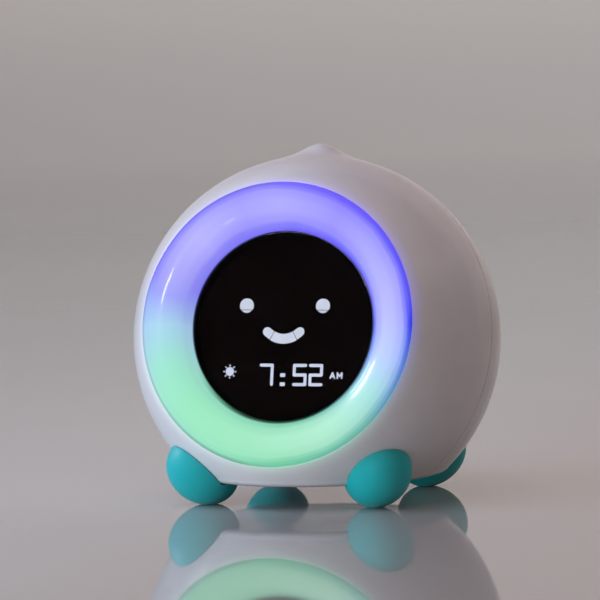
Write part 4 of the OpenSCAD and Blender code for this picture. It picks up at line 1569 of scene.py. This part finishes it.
@dataclass
class EggFoot:
    """An egg foot: its surface is found along rays as the place where three distances meet softly.

    turn is where it stands about the ball, rise how steeply the egg points up and outwards, fat how
    much fuller its outer end is, and sink how far under the ball's surface its middle lies. The
    rays start core_out further from the ball than that middle and core_down lower, and end at
    reach.
    """

    name: str
    node: str
    turn: float
    place: FaceFrame
    half: float = 13.8
    girth: float = 12.0
    fat: float = 0.1
    rise: float = 42.0
    flat: float = 0.45
    sink: float = 2.3
    ball: float = 65.5
    belly_z: float = 8.0
    gap: float = 0.15
    ease: float = 0.7
    table_ease: float = 0.5
    core_out: float = 5.0
    core_down: float = 2.4
    reach: float = 40.0
    halvings: int = 34
    rows: int = 120
    columns: int = 180

    def axis(self) -> np.ndarray:
        """The egg's long axis as a unit vector."""
        a, t = math.radians(self.turn), math.radians(self.rise)
        return np.array([math.cos(t) * math.cos(a), math.cos(t) * math.sin(a), math.sin(t)])

    def middle(self) -> np.ndarray:
        """The egg's centre, at the height that leaves its flat on the table.

        Returns:
            The point, at the distance from the ball's centre that sinks it into the ball.
        """
        t = math.radians(self.rise)
        z = math.hypot(self.half * math.sin(t), self.girth * math.cos(t)) - self.flat
        out = math.sqrt((self.ball - self.sink) ** 2 - (self.place.ball_z - z) ** 2)
        a = math.radians(self.turn)
        return np.array([out * math.cos(a), self.place.ball_y + out * math.sin(a), z])

    def outside(self, p: np.ndarray) -> np.ndarray:
        """Roughly how far points lie outside the foot: the softest greatest of egg, ball and table.

        The egg's share is (sqrt(s^2 + (across / girth)^2 / (1 + fat s)) - 1) girth, with s the way
        along its axis over its half length.

        Args:
            p: Points of shape (..., 3).

        Returns:
            Distances, below 0 inside.
        """
        off = p - self.middle()
        along = off @ self.axis()
        across = np.sqrt(np.maximum((off**2).sum(-1) - along**2, 0))
        s = along / self.half
        wide = (across / self.girth) ** 2 / (1 + self.fat * np.clip(s, -1, 1))
        egg = (np.sqrt(s**2 + wide) - 1) * self.girth
        round_ball = self.ball + self.gap - np.linalg.norm(p - self.place.centre(), axis=-1)
        hollow = soft_min(round_ball, p[..., 2] - self.belly_z + self.gap, self.ease)
        joined = -soft_min(-egg, -hollow, self.ease)
        return -soft_min(-joined, p[..., 2], self.table_ease)

    def build(self) -> Piece:
        """The foot, by halving the span between inside and outside along each ray from its core.

        Returns:
            The piece.
        """
        up = self.axis()
        out = self.middle() - self.place.centre()
        core = self.middle() + self.core_out * out / np.linalg.norm(out) - [0, 0, self.core_down]
        side = np.cross(up, [0.0, 0.0, 1.0])
        side /= np.linalg.norm(side)
        third = np.cross(up, side)
        polar = np.linspace(1e-4, np.pi - 1e-4, self.rows)[:, None]
        turn = full_turn(self.columns)[None, :]
        parts = (np.cos(polar), np.sin(polar) * np.cos(turn), np.sin(polar) * np.sin(turn))
        way = sum(part[..., None] * vector for part, vector in zip(parts, (up, side, third)))
        low = np.zeros((self.rows, self.columns))
        high = np.full((self.rows, self.columns), self.reach)
        for _ in range(self.halvings):
            mid = (low + high) / 2
            beyond = self.outside(core + mid[..., None] * way) > 0
            high, low = np.where(beyond, mid, high), np.where(beyond, low, mid)
        points = (core + low[..., None] * way).reshape(-1, 3)
        return make_piece(self.name, points, stack_faces(self.rows, self.columns), WELD / 100)


# ---------------------------------------------------------------------------------------------
# The studio


class LampRole(Enum):
    """What a lamp does.

    It lights matt skins only, is seen only in the gloss, or faces away to light the backdrop.
    """

    SOFT = "soft"
    MIRRORED = "mirrored"
    BACKDROP = "backdrop"


@dataclass(frozen=True)
class Lamp:
    """A soft lamp: its place about the clock, size, power, colour and role, in metres and watts."""

    name: str
    azimuth: float
    elevation: float
    away: float
    size: tuple[float, float]
    power: float
    colour: Triple
    role: LampRole = LampRole.SOFT


@dataclass
class Studio:
    """A plain pale table that runs up into a backdrop, soft lights and the camera.

    Its own lengths are millimetres. focus is the camera's focal length in pixels of an image that
    is image pixels wide, and shift how far the target lies off its middle. The table is flat from
    flat_from to flat_to, climbs by climb over climb_run, then runs through the points of steep. The
    surround is surround_near bright on the camera's side and surround_far behind the clock.
    """

    place: FaceFrame
    azimuth: float = 20.58
    elevation: float = 4.5
    roll: float = 1.51
    distance: float = 1800.0
    focus: float = 5045.0
    shift: tuple[float, float] = (17.06, 28.23)
    target: Triple = (0.0, 0.0, 60.0)
    image: int = 600
    sensor: float = 36.0
    half_width: float = 4200.0
    flat_from: float = -3600.0
    flat_to: float = 1300.0
    climb_run: float = 2100.0
    climb: float = 1500.0
    steep: tuple[tuple[float, float], ...] = ((3700.0, 2600.0), (3900.0, 4200.0))
    surround_near: float = 0.325
    surround_far: float = 0.25
    surround_colour: Triple = (1.0, 0.81, 0.72)
    lamps: tuple[Lamp, ...] = (
        Lamp("key", -62, 26, 1.5, (1.1, 1.1), 10.2, (0.35, 0.6, 1.0)),
        Lamp("low", -34, 2, 1.5, (1.0, 0.2), 12.4, (0.89, 0.98, 1.0)),
        Lamp("top", -20, 74, 1.4, (1.0, 0.7), 3.9, (0.93, 0.84, 1.0)),
        Lamp("fill", 146, 20, 2.4, (1.4, 1.0), 7.0, (1.0, 0.96, 0.98)),
        Lamp("wall", 190, 30, 1.9, (1.8, 0.5), 6.6, (1.0, 0.92, 0.9), LampRole.BACKDROP),
        Lamp("pane", -87, 26.5, 1.6, (0.36, 0.36), 6.0, (0.9, 0.96, 1.0), LampRole.MIRRORED),
        Lamp("glint", -2, 12.5, 1.6, (0.12, 0.14), 1.1, (1.0, 1.0, 1.0), LampRole.MIRRORED),
        Lamp("sky", -25, 80, 1.5, (2.4, 1.73), 1.4, (1.0, 0.96, 1.0), LampRole.MIRRORED),
    )

    def camera(self) -> None:
        """The camera: back along azimuth and elevation, turned by roll, its target off centre."""
        az, el, roll = (math.radians(v) for v in (self.azimuth, self.elevation, self.roll))
        level = math.cos(el)
        back = np.array([math.sin(az) * level, -math.cos(az) * level, math.sin(el)])
        right = np.array([math.cos(az), math.sin(az), 0.0])
        up = np.cross(back, right)
        turned = math.cos(roll) * right - math.sin(roll) * up
        raised = math.cos(roll) * up + math.sin(roll) * right
        scale = self.distance / self.focus
        aim = np.array(self.target) + [0, self.place.ball_y, 0]
        aim = aim - turned * self.shift[0] * scale + raised * self.shift[1] * scale
        spot = (aim + back * self.distance) * MM
        data = bpy.data.cameras.new("camera")
        data.lens, data.sensor_width = self.focus * self.sensor / self.image, self.sensor
        data.clip_start, data.clip_end = 0.05, 60
        camera = bpy.data.objects.new("camera", data)
        bpy.context.scene.collection.objects.link(camera)
        matrix = Matrix.Identity(4)
        for column, vector in enumerate((turned, raised, back, spot)):
            for row in range(3):
                matrix[row][column] = vector[row]
        camera.matrix_world = matrix
        bpy.context.scene.camera = camera

    def table(self) -> Piece:
        """The table and backdrop as one sheet: flat, then up as the way's cube, then steeply up.

        It rises only well behind the clock, so that every side can be seen from in front of it.

        Returns:
            The sheet.
        """
        way = np.linspace(0, 1, 40)[1:]
        flat = np.linspace(self.flat_from, self.flat_to, 12)
        run, rise = np.array(self.steep).T
        depth = np.concatenate([flat, self.flat_to + self.climb_run * way, run])
        height = np.concatenate([np.zeros(len(flat)), self.climb * way**3, rise])
        x = np.linspace(-self.half_width, self.half_width, 13)
        a = math.radians(self.azimuth)
        u, v = x[None, :], depth[:, None]
        px, py = u * math.cos(a) - v * math.sin(a), u * math.sin(a) + v * math.cos(a)
        points = np.stack([px, py, height[:, None] + 0 * px], axis=-1).reshape(-1, 3)
        sheet = make_piece("table_top", points, [grid_quads(len(depth), len(x), False, False)])
        if sheet.data.polygons[0].normal.z < 0:
            sheet.data.flip_normals()
        return sheet

    def lamp(self, lamp: Lamp) -> None:
        """Puts up a rectangular lamp that looks at the clock, or away from it at the backdrop.

        Args:
            lamp: The lamp, its azimuth counted as the camera's is.
        """
        a, e = math.radians(lamp.azimuth), math.radians(lamp.elevation)
        back = Vector((math.sin(a) * math.cos(e), -math.cos(a) * math.cos(e), math.sin(e)))
        data = bpy.data.lights.new(lamp.name, "AREA")
        data.shape, data.size, data.size_y = "RECTANGLE", *lamp.size
        data.energy, data.color = lamp.power, lamp.colour
        made = bpy.data.objects.new(lamp.name, data)
        bpy.context.scene.collection.objects.link(made)
        made.location = back * lamp.away + Vector((0, 0, self.target[2] * MM))
        made.rotation_mode = "QUATERNION"
        aim = Vector((back.x, back.y, 0)) if lamp.role is LampRole.BACKDROP else -back
        made.rotation_quaternion = aim.to_track_quat("-Z", "Y")
        made.visible_camera = False
        made.visible_glossy = lamp.role is LampRole.MIRRORED
        made.visible_diffuse = lamp.role is not LampRole.MIRRORED

    def light(self) -> None:
        """The lamps and a dim surround, a little brighter on the camera's side than behind."""
        scene = bpy.context.scene
        scene.view_settings.view_transform = "Standard"
        world = bpy.data.worlds.new("surround")
        scene.world = world
        world.use_nodes = True
        nodes, links = world.node_tree.nodes, world.node_tree.links
        where = nodes.new("ShaderNodeTexCoord")
        parts = nodes.new("ShaderNodeSeparateXYZ")
        ramp = nodes.new("ShaderNodeMapRange")
        ends = {"From Min": -0.9, "From Max": 0.7}
        ends |= {"To Min": self.surround_near, "To Max": self.surround_far}
        for key, number in ends.items():
            ramp.inputs[key].default_value = number
        links.new(where.outputs["Generated"], parts.inputs[0])
        links.new(parts.outputs["Y"], ramp.inputs["Value"])
        background = nodes["Background"]
        background.inputs["Color"].default_value = (*self.surround_colour, 1)
        links.new(ramp.outputs["Result"], background.inputs["Strength"])
        world.cycles_visibility.glossy = world.cycles_visibility.transmission = False
        for lamp in self.lamps:
            self.lamp(lamp)


# ---------------------------------------------------------------------------------------------
# The clock


Finish = MouldedPlastic | LitWindow | MaskInk | WorkedMetal | BoardLacquer | Striped | Fibrous

CAPS = tuple(f"{key}_button" for key in KEYS)
PLUNGERS = tuple(f"{key}_plunger" for key in KEYS)
BOARDS = ("display_board", "ring_board", "main_board", "inlet_board", "button_board")
SCREWS = ("carrier_screws", "board_screws", "battery_door_screw", "foot_screws", "shell_screws")
FINISHES: tuple[tuple[Finish, tuple[str, ...]], ...] = (
    (MouldedPlastic("button_teal", (20, 184, 188), (14, 177, 182), 0.42, 0.12, 0.15), CAPS),
    (MouldedPlastic("plunger_grey", (84, 84, 88), (74, 74, 78)), PLUNGERS),
    (MaskInk(), ("icon_mask",)),
    (LitWindow(), ("digit_windows", "colon_windows", "am_windows")),
    (LitWindow("window_soft", (222, 227, 238)), ("eye_windows", "smile_windows")),
    (MaskInk("tape_black", (14, 5, 2), 0.05), ("lens_tape",)),
    (MouldedPlastic("film_white", (232, 232, 234), (224, 224, 228), 0.6), ("diffuser_film",)),
    (
        MouldedPlastic("tray_white", (236, 236, 236), (228, 228, 230), 0.5),
        ("light_box", "ring_reflector"),
    ),
    (BoardLacquer(), BOARDS),
    (
        MouldedPlastic("lamp_ivory", (238, 230, 192), (230, 222, 184), 0.4),
        ("display_lamps", "ring_lamp_chips"),
    ),
    (
        MouldedPlastic("carrier_black", (24, 24, 26), (18, 18, 20)),
        ("front_carrier", "cell_holder"),
    ),
    (WorkedMetal("screw_steel", (184, 184, 188), (150, 150, 156)), SCREWS),
    (
        MouldedPlastic("chip_black", (20, 20, 20), (28, 28, 28), 0.55, 0.4),
        ("processor", "audio_chip"),
    ),
    (WorkedMetal("can_steel", (190, 190, 194), (160, 160, 166), 0.25), ("crystal_can",)),
    (
        WorkedMetal("can_aluminium", (196, 197, 200), (170, 171, 176), 0.35, (1, 40, 1)),
        ("capacitors",),
    ),
    (MouldedPlastic("socket_ivory", (230, 226, 206), (222, 218, 196)), ("board_sockets",)),
    (
        WorkedMetal("inlet_steel", (172, 172, 176), (140, 140, 146), 0.3, (1, 40, 1)),
        ("power_inlet",),
    ),
    (WorkedMetal("basket_grey", (70, 70, 74), (56, 56, 60), 0.5, (1, 1, 1)), ("speaker_frame",)),
    (WorkedMetal("magnet_grey", (92, 92, 96), (70, 70, 74), 0.55, (1, 1, 1)), ("speaker_magnet",)),
    (Fibrous("cone_paper", (46, 46, 50), (26, 26, 28)), ("speaker_cone",)),
    (Fibrous("gasket_black", (22, 22, 22), (12, 12, 12), 1600), ("speaker_gasket",)),
    (MouldedPlastic("lead_red", (158, 34, 30), (140, 28, 26), 0.55), ("speaker_leads",)),
    (MouldedPlastic("switch_grey", (92, 92, 96), (80, 80, 84)), ("switch_bodies",)),
    (Striped(), ("button_ribbon",)),
    (WorkedMetal("cell_steel", (200, 200, 202), (176, 176, 180), 0.22), ("coin_cell",)),
)


@dataclass
class Clock:
    """The whole clock: builds the pieces that replace CAD nodes and dresses those that stay."""

    place: FaceFrame = FaceFrame()
    hues: HueWheel = HueWheel()
    body: str = "case"
    feet: tuple[tuple[str, float], ...] = (
        ("front_left", -136.0),
        ("front_right", -44.0),
        ("rear_right", 49.0),
        ("rear_left", 131.0),
    )

    def stand_for(self, piece: Piece, node: str, finish: Material) -> None:
        """Gives a new piece its finish and puts it in the place of a CAD node.

        Args:
            piece: The new piece.
            node: The node that it stands for.
            finish: The piece's material.
        """
        piece.data.materials.clear()
        piece.data.materials.append(finish)
        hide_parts(node)
        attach(piece, self.body)
        LOG.info("%s stands for %s, %d faces", piece.name, node, len(piece.data.polygons))

    def dress(self, names: tuple[str, ...], finish: Material) -> None:
        """Gives CAD nodes a finish.

        Args:
            names: The nodes.
            finish: Their material.
        """
        for name in names:
            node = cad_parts[name]
            if not node.material_slots:
                node.data.materials.append(finish)
            for slot in node.material_slots:
                slot.material = finish
            LOG.info("%s is finished as %s", name, finish.name)

    def build_outside(self, white: Material) -> None:
        """Builds the case, the ring, the lens and the feet.

        Args:
            white: The shells' finish.
        """
        shells = CaseShells(BallForm(self.place))
        self.stand_for(shells.front(), "front_shell", white)
        self.stand_for(shells.rear(), "rear_shell", white)
        ring = RingGlow().make(self.place, self.hues)
        self.stand_for(RingLight(self.place).build(), "light_ring", ring)
        lens = DisplayLens(self.place).build()
        self.stand_for(lens, "display_lens", ClearLens().make())
        teal = MouldedPlastic(
            "foot_teal", (10, 182, 186), (6, 176, 181), 0.5, 0.1, sheen=0.75, bloom=0.1
        ).make()
        for name, turn in self.feet:
            foot = EggFoot(f"{name}_egg", f"{name}_foot", turn, self.place)
            self.stand_for(foot.build(), foot.node, teal)

    def build(self) -> None:
        """Builds and dresses everything, from the case inwards."""
        white = ShellGloss().make(self.place, self.hues)
        self.build_outside(white)
        self.dress(("battery_door",), white)
        self.dress(("sun_window",), SunWindow().make(self.place))
        for finish, names in FINISHES:
            self.dress(names, finish.make())


def main() -> None:
    """Builds the studio and the clock in order."""
    logging.basicConfig(level=logging.INFO, format="%(message)s")
    studio = Studio(FaceFrame())
    studio.camera()
    table = studio.table()
    table.data.materials.append(PaleTable().make())
    studio.light()
    Clock().build()


if __name__ == "__main__":
    main()
